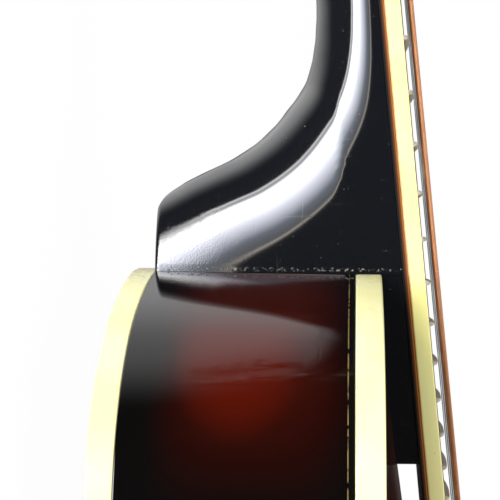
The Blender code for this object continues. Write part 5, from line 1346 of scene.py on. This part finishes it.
def makeTuners():
    shaftShape, buttonShape, postShapes, bearing = shaftRings(), buttonRings(), postShells(), earRings()
    collar = holedRings(circle(post["collar"], 48), circle(post["bore"], 48), -0.0002, 0.0008, 0.00035)
    toBearing = gear["wormLength"] / 2 + seatGap + ear["thickness"] / 2
    bushings = []
    for label, side in bothSides:
        title, x = label.capitalize(), side * tuners["x"]
        bearings, screws, holes = [], [], []
        for i in range(4):
            y = tuners["firstY"] + i * tuners["spacing"]
            postAt, wormAt = np.array([x, y, 0.0]), np.array([x, y - gear["offset"], gear["z"]])
            shaftNode, postNode = f"tuner_shaft_{label}_{i + 1}", f"string_post_{label}_{i + 1}"
            worm, oval = (headToBody(rings * [side, 1, side] + wormAt) for rings in (shaftShape, buttonShape))
            makePiece(f"wormShaft{title}{i + 1}", [worm], "nickel", "nickel", shaftNode, rides=shaftNode)
            button = makePiece(
                f"tunerButton{title}{i + 1}", [oval], "cream", "cream_plastic", rides=shaftNode, sharpAngle=60
            )
            button.visible_glossy = False
            makePiece(
                f"stringPost{title}{i + 1}", [headToBody(rings + postAt) for rings in postShapes],
                "nickel", "nickel", postNode, rides=postNode, sharpAngle=35,
            )
            bushings.append(headToBody(collar + postAt))
            hole = circle(post["radius"] + seatGap, 40, postAt[:2])
            holes.append(headToBody(prismRings(hole, -0.03, 0.0)))
            bearings += [headToBody(bearing + wormAt + [end * toBearing, 0, 0]) for end in (-1, 1)]
            screwAt = np.array([x, y + tunerPlate["screwAfter"][i], tunerPlate["back"]])
            for rings in screwHead(*tunerPlate["screw"], 0.5 + 1.3 * i):
                screws.append(headToBody(rings * [1, -1, -1] + screwAt))
        makeTunerPlate(label, x, holes)
        makePiece(f"tunerBearings{title}", bearings, "nickel", "nickel")
        makePiece(f"plateScrews{title}", screws, "screw", "nickel")
    makePiece("postBushings", bushings, "nickel", "nickel")
    print("tuners made")


trussCover = {
    "edge": (
        (0.0045, 0.003), (0.0085, 0.014), (0.0095, 0.026), (0.0065, 0.036), (0.0, 0.0405),
        (-0.0065, 0.036), (-0.0095, 0.026), (-0.0085, 0.014), (-0.0045, 0.003),
    ),
    "inset": 0.0006, "baseTop": 0.0010, "faceLow": 0.0009, "top": 0.0018, "screw": (0.0013, 0.0005),
    "screws": ((-0.0042, 0.0082), (0.0042, 0.0082), (0.0, 0.0360)),
}


def makeTrussCover():
    # A bell of two laminated layers, the upper one smaller with an eased edge, and its three screws.
    edge = roundedProfile(smoothCurve(trussCover["edge"], 8, closed=False), 0.0004, 3)
    inner = edge - outlineNormals(edge) * trussCover["inset"]
    base = prismRings(edge, 0.00004, trussCover["baseTop"], 0.0001)
    face = prismRings(inner, trussCover["faceLow"], trussCover["top"], 0.00025)
    makePiece("trussCoverBase", [headToBody(base)], "bone", "black_plastic", "truss_rod_cover")
    makePiece("trussCoverFace", [headToBody(face)], "blackPlastic", "black_plastic")
    screws = []
    for i, spot in enumerate(trussCover["screws"]):
        for rings in screwHead(*trussCover["screw"], 0.4 + i):
            screws.append(headToBody(rings + [*spot, trussCover["top"]]))
    makePiece("trussCoverScrews", screws, "screw", "nickel")


makeTuners()
makeTrussCover()

# Bridge, with its studs and wheels.
_, bridge["y"], bridge["under"] = neckToBody([0.0, bridge["localY"], action(bridge["localY"])]).tolist()
bridge["baseTop"] = float(topHeight(0.0, bridge["y"])) + bridge["baseHeight"]
bridge["wheelZ"] = bridge["baseTop"] + bridge["wheelLift"]
bridge["bottom"] = bridge["wheelZ"] + bridge["wheelThickness"] + seatGap


def makeBridgeBase():
    # A foot that follows the arch: thin wings that rise in an S to the block between the studs.
    t, y = np.linspace(-1, 1, 81), bridge["y"]
    x = t * bridge["halfLength"]
    depth = bridge["halfDepth"] * (1 - 0.35 * t ** 6)
    front, back = (topHeight(x, y + way * depth) + bridge["footGap"] for way in (1, -1))
    wing = np.maximum(front, back) + bridge["wing"] * (1 - 0.35 * t ** 4)
    top = wing + (bridge["baseTop"] - wing) * smoothStep((0.655 - np.abs(t)) / 0.13)
    flats = []
    for d, low, high, crest in zip(depth, back, front, top):
        corners = [(y - d, low), (y + d, high), (y + d * 0.72, crest), (y - d * 0.72, crest)]
        flats.append(roundedProfile(corners, 0.0009, 5))
    makePiece("bridgeFoot", [sectionsAt(x, flats)], "ebony", "ebony", "bridge_base", sharpAngle=50)
    low, high = bridge["baseTop"] - 0.001, bridge["bottom"] + bridge["studIn"]
    rod = threadRings(bridge["studRadius"], 0.0007, 0.00016, low, high)
    studs = [rod + [side * bridge["studX"], y, 0] for _, side in bothSides]
    makePiece("bridgeStuds", studs, "screw", "nickel", sharpAngle=60)


def makeSaddle():
    # The crest stands a little over the strings' undersides; each string lies in a notch cut down to it.
    half, low, under, y = bridge["saddleHalf"], bridge["bottom"], bridge["under"], bridge["y"]
    over = 0.00012
    spots = pairX("bridge")[:, None]
    reach = np.array([[strings["radius"][note] + over] for note, _ in courses])
    x = np.unique(np.concatenate([
        np.linspace(-half, half, 121), (spots + reach * [-1.25, -1, 0, 1, 1.25]).ravel(),
    ]))
    share = 0.55 + 0.45 * smoothStep((1 - np.abs(x) / half) / 0.30)
    d, c, flats = bridge["saddleDepth"], bridge["crestHalf"], []
    for crown in low + (under + over - low) * share:
        shoulder = low + (crown - low) * 0.55
        corners = [
            (y - d, low), (y + d, low), (y + d, shoulder), (y + c, crown), (y - c, crown), (y - d, shoulder),
        ]
        flats.append(roundedProfile(corners, 0.0005, 4))
    rings = sectionsAt(x, flats)
    inNotch = (np.abs(x - spots) <= reach * 1.01).any(axis=0)
    rings[inNotch, :, 2] = np.minimum(rings[inNotch, :, 2], under - 0.00005)
    saddle = makePiece(
        "bridgeSaddle", [rings], "ebony", "ebony", "bridge_saddle", rides="saddle", sharpAngle=40
    )
    flat, top = circle(bridge["studRadius"] + seatGap, 28), low + bridge["studIn"] + bridge["holeSpare"]
    hole = prismRings(flat, low - 0.001, top)
    cutHoles(saddle, [hole + [side * bridge["studX"], y, 0] for _, side in bothSides], 40)


def makeWheels():
    # Knurling by polar angle: r = R - d (1 + cos(44 a)) / 2.
    angle = fullTurn(352)
    reach = bridge["wheelRadius"] - 0.00022 * (1 + np.cos(44 * angle)) / 2
    bore = circle(bridge["studRadius"] + seatGap, len(angle))
    wheel = holedRings(polar(reach, angle), bore, 0.0, bridge["wheelThickness"], 0.00028)
    for label, side in bothSides:
        name, node = f"thumbwheel{label.capitalize()}", f"thumbwheel_{label}"
        rings = wheel + [side * bridge["studX"], bridge["y"], bridge["wheelZ"]]
        makePiece(name, [rings], "nickel", "nickel", node, rides=node, sharpAngle=30)


makeBridgeBase()
makeSaddle()
makeWheels()


# Tailpiece with its hooks and cover, and the strap button.
def makeTailpiece():
    # A bent sheet: outer and inner line of its section, carried across with rounded corners at both ends.
    half, sheet, corner, lift = tail["halfWidth"], tail["sheet"], tail["corner"], tail["lift"]
    front, inside = tailY + tail["reach"], tailY - seatGap
    outside, bevel = inside - sheet, 0.0002
    x = half * np.sin(np.linspace(-math.pi / 2, math.pi / 2, 41))
    inCorner = np.maximum(0.0, np.abs(x) - half + corner)
    flats = []
    for back in corner - np.sqrt(np.maximum(0.0, corner ** 2 - inCorner ** 2)):
        end, low = front - back, back - tail["drop"]
        top = tailTop(end)
        # Of each line only the bend is taken, the second of the three corners.
        outer = roundedProfile([(outside, low), (outside, lift + sheet), (end, top)], 0.0026, 8)[8:16]
        inner = roundedProfile([(inside, low), (inside, lift), (end, top - sheet)], 0.0013, 8)[8:16]
        flats.append(np.concatenate([
            [(outside + bevel, low), (outside, low + bevel)], outer,
            [(end - bevel, top), (end, top - bevel), (end, top - sheet)], inner[::-1], [(inside, low)],
        ]))
    piece = makePiece(
        "tailpieceSheet", [sectionsAt(x, flats)], "nickel", "nickel", "tailpiece", sharpAngle=35
    )
    place = onAxis((0, tailY, tail["strapZ"]), (0, -1, 0))
    cutHoles(piece, [place(prismRings(circle(0.0027, 32), -0.004, 0.006))])


def makeHooks():
    # Round pins that bend toward the tail and end blunt, and the pad under the tailpiece's front edge.
    radius, sheet, rise = tail["hookRadius"], tail["sheet"], tail["hookHeight"] - 0.0021
    bend = np.linspace(0, math.radians(62), 9)
    path = np.concatenate([
        [(0, 0, -sheet / 2), (0, 0, rise * 0.5)],
        np.column_stack([bend * 0, -0.0018 * (1 - np.cos(bend)), rise + 0.0015 * np.sin(bend)]),
    ])
    radii = np.append(np.full(len(path), radius), radius * 0.5)
    path = np.concatenate([path, [path[-1] + [0, -0.0003, 0.00012]]])
    hook = sweptRings(path, radii, 20, (1.0, 0.0, 0.0))
    hooks = [hook + hookAt(*course) for course in courses]
    makePiece("tailpieceHooks", hooks, "nickel", "nickel", sharpAngle=60)
    front = tailY + tail["reach"]
    flat = roundedBox(tail["halfWidth"] * 0.8, 0.0015, 0.0006) + [0, front - 0.002]
    low, high = float(topHeight(0, front)) + body["glue"], tailTop(front) - sheet / 2
    makePiece("tailpieceFoot", [prismRings(flat, low, high)], "nickel", "nickel")


def coverArc(inset, y):
    # From side to side: |x| follows a power of the cosine and the height a power of the sine.
    half, height = tail["halfWidth"] - inset, tail["coverHeight"] - inset
    c, s = polar(1.0, np.linspace(math.pi, 0, 49)).T
    x = half * np.sign(c) * np.abs(c) ** 0.45
    z = height * (0.45 + 0.55 * np.clip(s, 0, 1) ** 0.6)
    x, z = np.concatenate([[-half], x, [half]]), np.concatenate([[0.0], z, [0.0]])
    return np.column_stack([x, np.full(len(x), y), z + tailTop(y) + seatGap])


def makeTailCover():
    # A tunnel with a closed back; toward the back its outside rounds off by a quarter circle.
    start, wall, ease = tailY + 0.0005, tail["coverWall"], tail["coverEase"]
    turn = np.linspace(0, math.pi / 2, 6)
    plain = np.linspace(start + 0.004, start + tail["coverLength"], 24)
    y = np.append(start + ease * (1 - np.cos(turn)), plain)
    insets = np.append(ease * (1 - np.sin(turn)), np.zeros(len(plain)))
    tunnel = [np.concatenate([coverArc(inset, at), coverArc(wall, at)[::-1]]) for inset, at in zip(insets, y)]
    back = [coverArc(wall * 0.9, at) for at in (start + 0.00002, start + wall)]
    makePiece(
        "tailpieceCover", [np.stack(tunnel), np.stack(back)], "nickel", "nickel", "tailpiece_cover",
        rides="tailpiece_cover", sharpAngle=35,
    )


strap = {"length": 0.0125, "radius": 0.0070, "stem": 0.0024, "stemEnd": -0.016, "screw": (0.0030, 0.0010)}


def makeStrapButton():
    # Turned on its screw: head, waist and foot in radius and height, then the stem that goes into the block.
    length, radius, stem, sheet = strap["length"], strap["radius"], strap["stem"], tail["sheet"]
    crown = [
        (radius * 0.50, length - 0.0008), (radius * 0.84, length), (radius * 0.96, length - 0.0004),
        (radius, length - 0.0014),
    ]
    waist = smoothCurve([
        (radius, length - 0.0028), (radius * 0.70, length - 0.0046), (radius * 0.54, 0.0056),
        (radius * 0.60, 0.0036 + sheet / 2), (radius * 0.92, 0.0010 + sheet),
    ], 7, closed=False)
    foot = [
        (radius, 0.0004 + sheet), (radius * 0.97, sheet + 0.0001), (stem, sheet + 0.0001),
        (stem, strap["stemEnd"] + 0.001), (0.0006, strap["stemEnd"]),
    ]
    turned = turnedRings(np.concatenate([crown, waist, foot]), 56)
    screw = [rings + [0, 0, length - 0.0010] for rings in screwHead(*strap["screw"], 0.8)]
    place = onAxis((0, tailY - seatGap, tail["strapZ"]), (0, -1, 0))
    shells = [place(rings) for rings in (turned, *screw)]
    makePiece("strapButton", shells, "nickel", "nickel", "strap_button", sharpAngle=35)


makeTailpiece()
makeHooks()
makeTailCover()
makeStrapButton()

# Pickup, controls and output jack.
pickup = {
    "front": boardEndY - seatGap - board["bindingWall"] - 0.0009, "width": 0.034, "half": 0.041,
    "corner": 0.0035, "wall": 0.0018, "ease": 0.0016, "footGap": 0.00006, "underStrings": 0.0040,
    "coilMargin": 0.0035, "coilCorner": 0.004, "pole": 0.0022, "proud": 0.0008, "poleHead": 0.0012,
    "coil": ((0.0, 0.0115, 0.0130), (0.0012, 0.0012, 0.0120), (0.0, 0.0, 0.0015)),
}
pickup["y"] = pickup["front"] - pickup["width"] / 2
fall = math.tan(tilt) + (action(0) - action(nutY)) / nutY
pickup["top"] = neck["boardZ"] + action(0) - pickup["front"] * fall - pickup["underStrings"]


def poleSpots():
    share = (bridge["localY"] - pickup["y"]) / (bridge["localY"] - nutY)
    ends = ((strings["bridgeX"][note], strings["nutX"][note]) for note in "gdae")
    return [(low + (high - low) * share, pickup["y"]) for low, high in ends]


def makePickup():
    # The cover is one skin: outside from the flat top round its edge to the foot, then up the inside.
    middle, top, ease, wall = np.array([0.0, pickup["y"]]), pickup["top"], pickup["ease"], pickup["wall"]
    corners = roundedBox(pickup["half"], pickup["width"] / 2, pickup["corner"], 10) + middle
    corners = corners.reshape(4, 10, 2)
    ends, starts = corners[:, -1:], np.roll(corners, -1, axis=0)[:, :1]
    straights = ends + (starts - ends) * np.linspace(0, 1, 12)[1:-1, None]
    edge = np.concatenate([corners, straights], axis=1).reshape(-1, 2)
    inward = -outlineNormals(edge)
    inner = edge + inward * wall
    turn = np.linspace(0, math.pi / 2, 7)
    insets, heights = ease * (1 - np.sin(turn)), top - ease * (1 - np.cos(turn))
    rings = [atHeight(edge + inward * inset, z) for inset, z in zip(insets, heights)]
    rings += [atHeight(line, topHeight(*line.T) + pickup["footGap"]) for line in (edge, inner)]
    rings.append(atHeight(inner, top - wall))
    cover = makePiece(
        "pickupCover", [np.stack(rings)], "blackPlastic", "black_plastic", "pickup_cover", sharpAngle=40
    )
    spots, bore = poleSpots(), pickup["pole"] + seatGap
    cutHoles(cover, [prismRings(circle(bore, 36, spot), top - 0.004, top + 0.004) for spot in spots], 40)
    margin, coilTop, coil = wall + pickup["coilMargin"], top - wall - seatGap, []
    for inset, high, low in pickup["coil"]:
        halfX, halfY = pickup["half"] - margin - inset, pickup["width"] / 2 - margin - inset
        flat = roundedBox(halfX, halfY, pickup["coilCorner"]) + middle
        coil.append(prismRings(flat, coilTop - low, coilTop - high, 0.0001))
    makePiece("pickupCoil", coil, "blackPlastic", "black_plastic", "pickup")
    poles, base = [], top + pickup["proud"] - pickup["poleHead"]
    for i, spot in enumerate(spots):
        poles.append(prismRings(circle(pickup["pole"] * 0.98, 40, spot), top - 0.0060, base + 0.0001))
        head = screwHead(pickup["pole"], pickup["poleHead"], 0.3 + 0.9 * i)
        poles += [rings + [*spot, base] for rings in head]
    makePiece("polePieces", poles, "screw", "nickel")


control = {
    "places": {"volume": (0.076, -0.262), "tone": (0.094, -0.226)}, "lift": 0.0055, "height": 0.0130,
    "skirt": 0.0120, "crown": 0.0092, "shaftTop": 0.0152, "socket": 0.0033, "slopeStep": 0.002,
    "marks": 11, "firstMark": math.radians(-240), "markStep": math.radians(30), "markHalf": 0.00022,
    "markOnSkirt": (0.0099, 0.0116), "markOnTop": (0.0045, 0.0082),
}


def knobMarks():
    # Eleven painted strips on the sloping skirt, and one line on the flat top that points at the first.
    crown, skirt, half, first = (control[key] for key in ("crown", "skirt", "markHalf", "firstMark"))
    strips = [(first + control["markStep"] * k, control["markOnSkirt"]) for k in range(control["marks"])]
    section = np.array([(-half, -0.0003), (half, -0.0003), (half, 0.00002), (-half, 0.00002)])
    shells = []
    for angle, ends in [*strips, (first, control["markOnTop"])]:
        reach = np.linspace(*ends, 5)
        slope = 0.0045 - (reach - crown) / (skirt - crown) * 0.0025
        height = np.where(reach < crown, control["height"] + 0.00004, slope + 0.00006) + control["lift"]
        c, s = math.cos(angle), math.sin(angle)
        strip = sectionsAt(reach, [section + [0.0, z] for z in height])
        shells.append(strip @ np.array([(c, s, 0), (-s, c, 0), (0, 0, 1)]))
    return shells


def potNutShells():
    # A threaded bushing with a bore, a washer and a six-sided nut.
    thread, bore = threadRings(0.0046, 0.0008, 0.00015, 0.0008, 0.0042, 40), circle(0.0033, 40)
    bushing = np.concatenate([thread, [atHeight(bore, z) for z in (0.0042, 0.0008)], thread[:1]])
    around = circle(0.0047, 48)
    washer = holedRings(circle(0.0075, 48), around, 0.00006, 0.0009, 0.00015)
    return [bushing, washer, holedRings(hexagon(0.0068), around, 0.0009, 0.0030, 0.0002)]


def makeControls():
    # Each control stands square to the arch at its place.
    crown, skirt, socket, height, low = (control[key] for key in ("crown", "skirt", "socket", "height", "lift"))
    knob = np.concatenate([
        [(0.0020, height - 0.0004), (crown - 0.0022, height - 0.0003)], easedCorner(crown, height, 0.0010),
        [(crown, 0.0050), (crown + 0.0003, 0.0044), (skirt - 0.0003, 0.0020), (skirt, 0.0016),
         (skirt, 0.0003), (skirt - 0.0003, 0.0), (socket, 0.0), (socket, control["shaftTop"] + 0.0003 - low)],
    ]) + [0, low]
    for label, (x, y) in control["places"].items():
        step = control["slopeStep"]
        slopeX = float(topHeight(x + step, y) - topHeight(x - step, y)) / (2 * step)
        slopeY = float(topHeight(x, y + step) - topHeight(x, y - step)) / (2 * step)
        place = onAxis((x, y, float(topHeight(x, y))), (-slopeX, -slopeY, 1.0))
        rides = f"{label}_control"
        makePiece(
            f"{label}Knob", [place(turnedRings(knob, 72))], "blackPlastic", "black_plastic",
            f"{label}_knob", rides=rides, sharpAngle=35,
        )
        marks = [place(rings) for rings in knobMarks()]
        makePiece(f"{label}Marks", marks, "paintedMark", "ivory_binding", rides=rides)
        nut = [place(rings) for rings in potNutShells()]
        makePiece(f"{label}PotNut", nut, "nickel", "nickel", sharpAngle=35)


jack = {"barrel": 0.0047, "bore": 0.0033, "case": 0.0072, "caseLength": 0.018, "front": 0.0040}


def makeJack():
    # A threaded barrel through the side with a bore, a washer and a six-sided nut outside, a case inside.
    spot = outline[np.argmax(outline[:, 0])]
    place = onAxis((*spot, -body["depth"] / 2), (1, 0, 0), (0, 0, 1))
    barrel, bore, case, front = (jack[key] for key in ("barrel", "bore", "case", "front"))
    wall = -body["rimWall"]
    end = wall - jack["caseLength"]
    thread = threadRings(barrel, 0.0008, 0.00015, wall - 0.0010, front - 0.0002, 48)
    inside = [(bore, end + 0.0015), (bore, front - 0.0004), (bore + 0.0003, front), (bore + 0.0010, front)]
    behind = [
        (barrel, wall - 0.0014), (case - 0.0002, wall - 0.0015), (case, wall - 0.0018), (case, end),
        (barrel + 0.0003, end),
    ]
    rings = np.concatenate([turnedRings(inside, 48), thread[::-1], turnedRings(behind, 48)])
    washer = holedRings(circle(0.0095, 64), circle(0.0048, 64), 0.0002, 0.0010, 0.0002)
    nut = holedRings(hexagon(0.0080), circle(0.0048, 48), 0.0010, 0.0030, 0.00025)
    shells = [place(shell) for shell in (rings, washer, nut)]
    makePiece("outputJack", shells, "nickel", "nickel", "output_jack", sharpAngle=35)


makePickup()
makeControls()
makeJack()
print("fittings made")

# CAD nodes that keep their shape.
kept = {
    "inner": ("top_lining", "back_lining", "neck_block", "tail_block", "tone_bar_bass", "tone_bar_treble"),
    "nickel": ("volume_pot", "tone_pot", "volume_shaft", "tone_shaft"),
    "steel": ("truss_rod",),
}


def paintKeptNodes():
    for look, nodes in kept.items():
        for node in nodes:
            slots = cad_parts[node].material_slots
            for slot in slots:
                slot.material = finish[look]
            if not slots:
                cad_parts[node].data.materials.append(finish[look])


paintKeptNodes()

# Floor, light and camera.
stage = {
    "floorHalf": 6.0, "floorDrop": 0.0004, "floorGlow": 0.98,
    "ambient": {"camera": 1.0, "darkGlossy": 0.025, "paleGlossy": 1.0, "other": 0.50},
    "softbox": {"offAxis": (19.5, 63.0), "clock": (-14.0, 56.0), "distance": 1.25, "radiance": 15.5},
    "overhead": {"at": (0.2, -0.5, 1.9), "size": (2.0, 2.0), "radiance": 3.2},
    "front": {"at": (-1.5, -0.9, 0.9), "size": (1.6, 1.6), "radiance": 1.6},
}
camera = {"at": (-0.45, 0.007, -0.00505), "yaw": math.radians(3.06), "focalPixels": 2021.0}


def makeFloor():
    # White paper that the camera sees glowing, and sees through from below.
    half, z = stage["floorHalf"], -stage["floorDrop"]
    mesh = bpy.data.meshes.new("floor")
    corners = [(-half, -half, z), (half, -half, z), (half, half, z), (-half, half, z)]
    mesh.from_pydata(corners, [], [(0, 1, 2, 3)])
    floor = inScene("floor", mesh)
    paint = Paint("floorPaper", Roughness=0.9, Base_Color=(0.90, 0.90, 0.90))
    glow = paint.node("ShaderNodeEmission", {}, {"Color": (1, 1, 1, 1), "Strength": 1.0})
    clear = paint.node("ShaderNodeBsdfTransparent", {}, {})
    lit = Socket(paint, paint.shader.outputs[0])
    seen = paint.node("ShaderNodeLightPath", {}, {}, "Is Camera Ray")
    white = paint.node("ShaderNodeMixShader", {}, {0: seen * stage["floorGlow"], 1: lit, 2: glow})
    under = paint.node("ShaderNodeNewGeometry", {}, {}, "Backfacing")
    mesh.materials.append(paint.show(paint.node("ShaderNodeMixShader", {}, {0: under, 1: white, 2: clear})))
    floor.visible_glossy = floor.visible_shadow = False


def makeWorld():
    # White to the camera and a low level for matt surfaces. Reflections see a dark room that grows pale
    # behind the object, most of all low down and on the headstock's side.
    levels = stage["ambient"]
    world = Paint("studio", "worlds", "Background", Color=(1, 1, 1, 1))
    bpy.context.scene.world = world.material
    x, y, z = world.split(world.node("ShaderNodeTexCoord", {}, {}, "Generated"))
    level = (z + 0.10).most(0.0).least(0.10) * -3.5
    pale = (x + y.least(0.55) * 0.9 + level).smooth(0.38, 0.95) * (y.smooth(0.15, 0.50) * 0.55 + 0.45)
    pale = pale * (z.smooth(-0.15, -0.50) * 0.80 + 0.75) * z.smooth(0.15, -0.02)
    seen = world.node("ShaderNodeLightPath", {}, {}, "Is Camera Ray")
    glossy = world.node("ShaderNodeLightPath", {}, {}, "Is Glossy Ray")
    room = pale * levels["paleGlossy"] + levels["darkGlossy"]
    other = glossy * (room - levels["other"]) + levels["other"]
    world.wire(Strength=seen * (levels["camera"] - other) + other)
    bpy.context.scene.view_settings.view_transform = "Standard"


def makeLamps():
    # Two soft fills that light matt surfaces only, so that no hard shape shows in the lacquer.
    target = Vector(jointAt) + Vector((0, 0.01, -0.02))
    for name in ("overhead", "front"):
        values = stage[name]
        light = bpy.data.lights.new(name, "AREA")
        light.shape = "RECTANGLE"
        light.size, light.size_y = values["size"]
        light.energy = values["radiance"] * math.pi * light.size * light.size_y
        lamp = inScene(name, light)
        lamp.location = target + Vector(values["at"])
        lamp.rotation_euler = (target - lamp.location).to_track_quat("-Z", "Y").to_euler()
        lamp.visible_glossy = lamp.visible_camera = False


def makeSoftbox():
    # A curved framed panel seen by light rays and reflections: part of a sphere round the joint, between
    # two angles off the view and two clock angles round it. Its glow falls off on the side toward the
    # camera, with a thin bright rim at both long edges.
    values, rows, columns = stage["softbox"], 61, 21
    u, v = np.meshgrid(np.linspace(0, 1, rows), np.linspace(0, 1, columns), indexing="ij")
    (offLow, offHigh), (clockLow, clockHigh) = values["offAxis"], values["clock"]
    off = np.radians(offLow + (offHigh - offLow) * u)
    turn = np.radians(clockLow + (clockHigh - clockLow) * v)
    toward = np.stack([-np.cos(off), np.sin(off) * np.sin(turn), -np.sin(off) * np.cos(turn)], axis=-1)
    points = jointAt + [-0.015, 0.02, -0.02] + toward * values["distance"]
    mesh = bpy.data.meshes.new("softbox")
    mesh.from_pydata(points.reshape(-1, 3).tolist(), [], gridFaces(rows, columns, closed=False).tolist())
    addFloat(mesh, "outward", u)
    paint = Paint("softboxGlow")
    level = paint.ramp(
        paint.attribute("outward"), (0.0, (0.0, 0.0, 0.0)), (0.015, (0.10, 0.09, 0.07)),
        (0.035, (0.30, 0.28, 0.25)), (0.055, (0.06, 0.06, 0.06)), (0.20, (0.10, 0.11, 0.13)),
        (0.46, (0.62, 0.64, 0.72)), (0.60, (1.0, 1.0, 1.0)), (0.86, (1.0, 1.0, 1.0)),
        (0.90, (0.22, 0.23, 0.26)), (0.945, (0.20, 0.20, 0.22)), (0.96, (0.55, 0.54, 0.52)),
        (0.985, (0.50, 0.48, 0.46)), (1.0, (0.0, 0.0, 0.0)),
    )
    glow = paint.node("ShaderNodeEmission", {}, {"Color": level, "Strength": values["radiance"]})
    mesh.materials.append(paint.show(glow))
    panel = inScene("softbox", mesh)
    panel.visible_camera = panel.visible_shadow = False


def makeCamera():
    data = bpy.data.cameras.new("photoCamera")
    data.sensor_width = 36.0
    data.lens = camera["focalPixels"] / 500 * data.sensor_width
    data.clip_start, data.clip_end = 0.01, 50.0
    eye = inScene("photoCamera", data)
    c, s = math.cos(camera["yaw"]), math.sin(camera["yaw"])
    matrix = Matrix(((s, 0, c), (0, 1, 0), (-c, 0, s))).transposed().to_4x4()
    matrix.translation = Vector(jointAt) + Vector(camera["at"])
    eye.matrix_world = matrix
    bpy.context.scene.camera = eye


makeFloor()
makeWorld()
makeLamps()
makeSoftbox()
makeCamera()
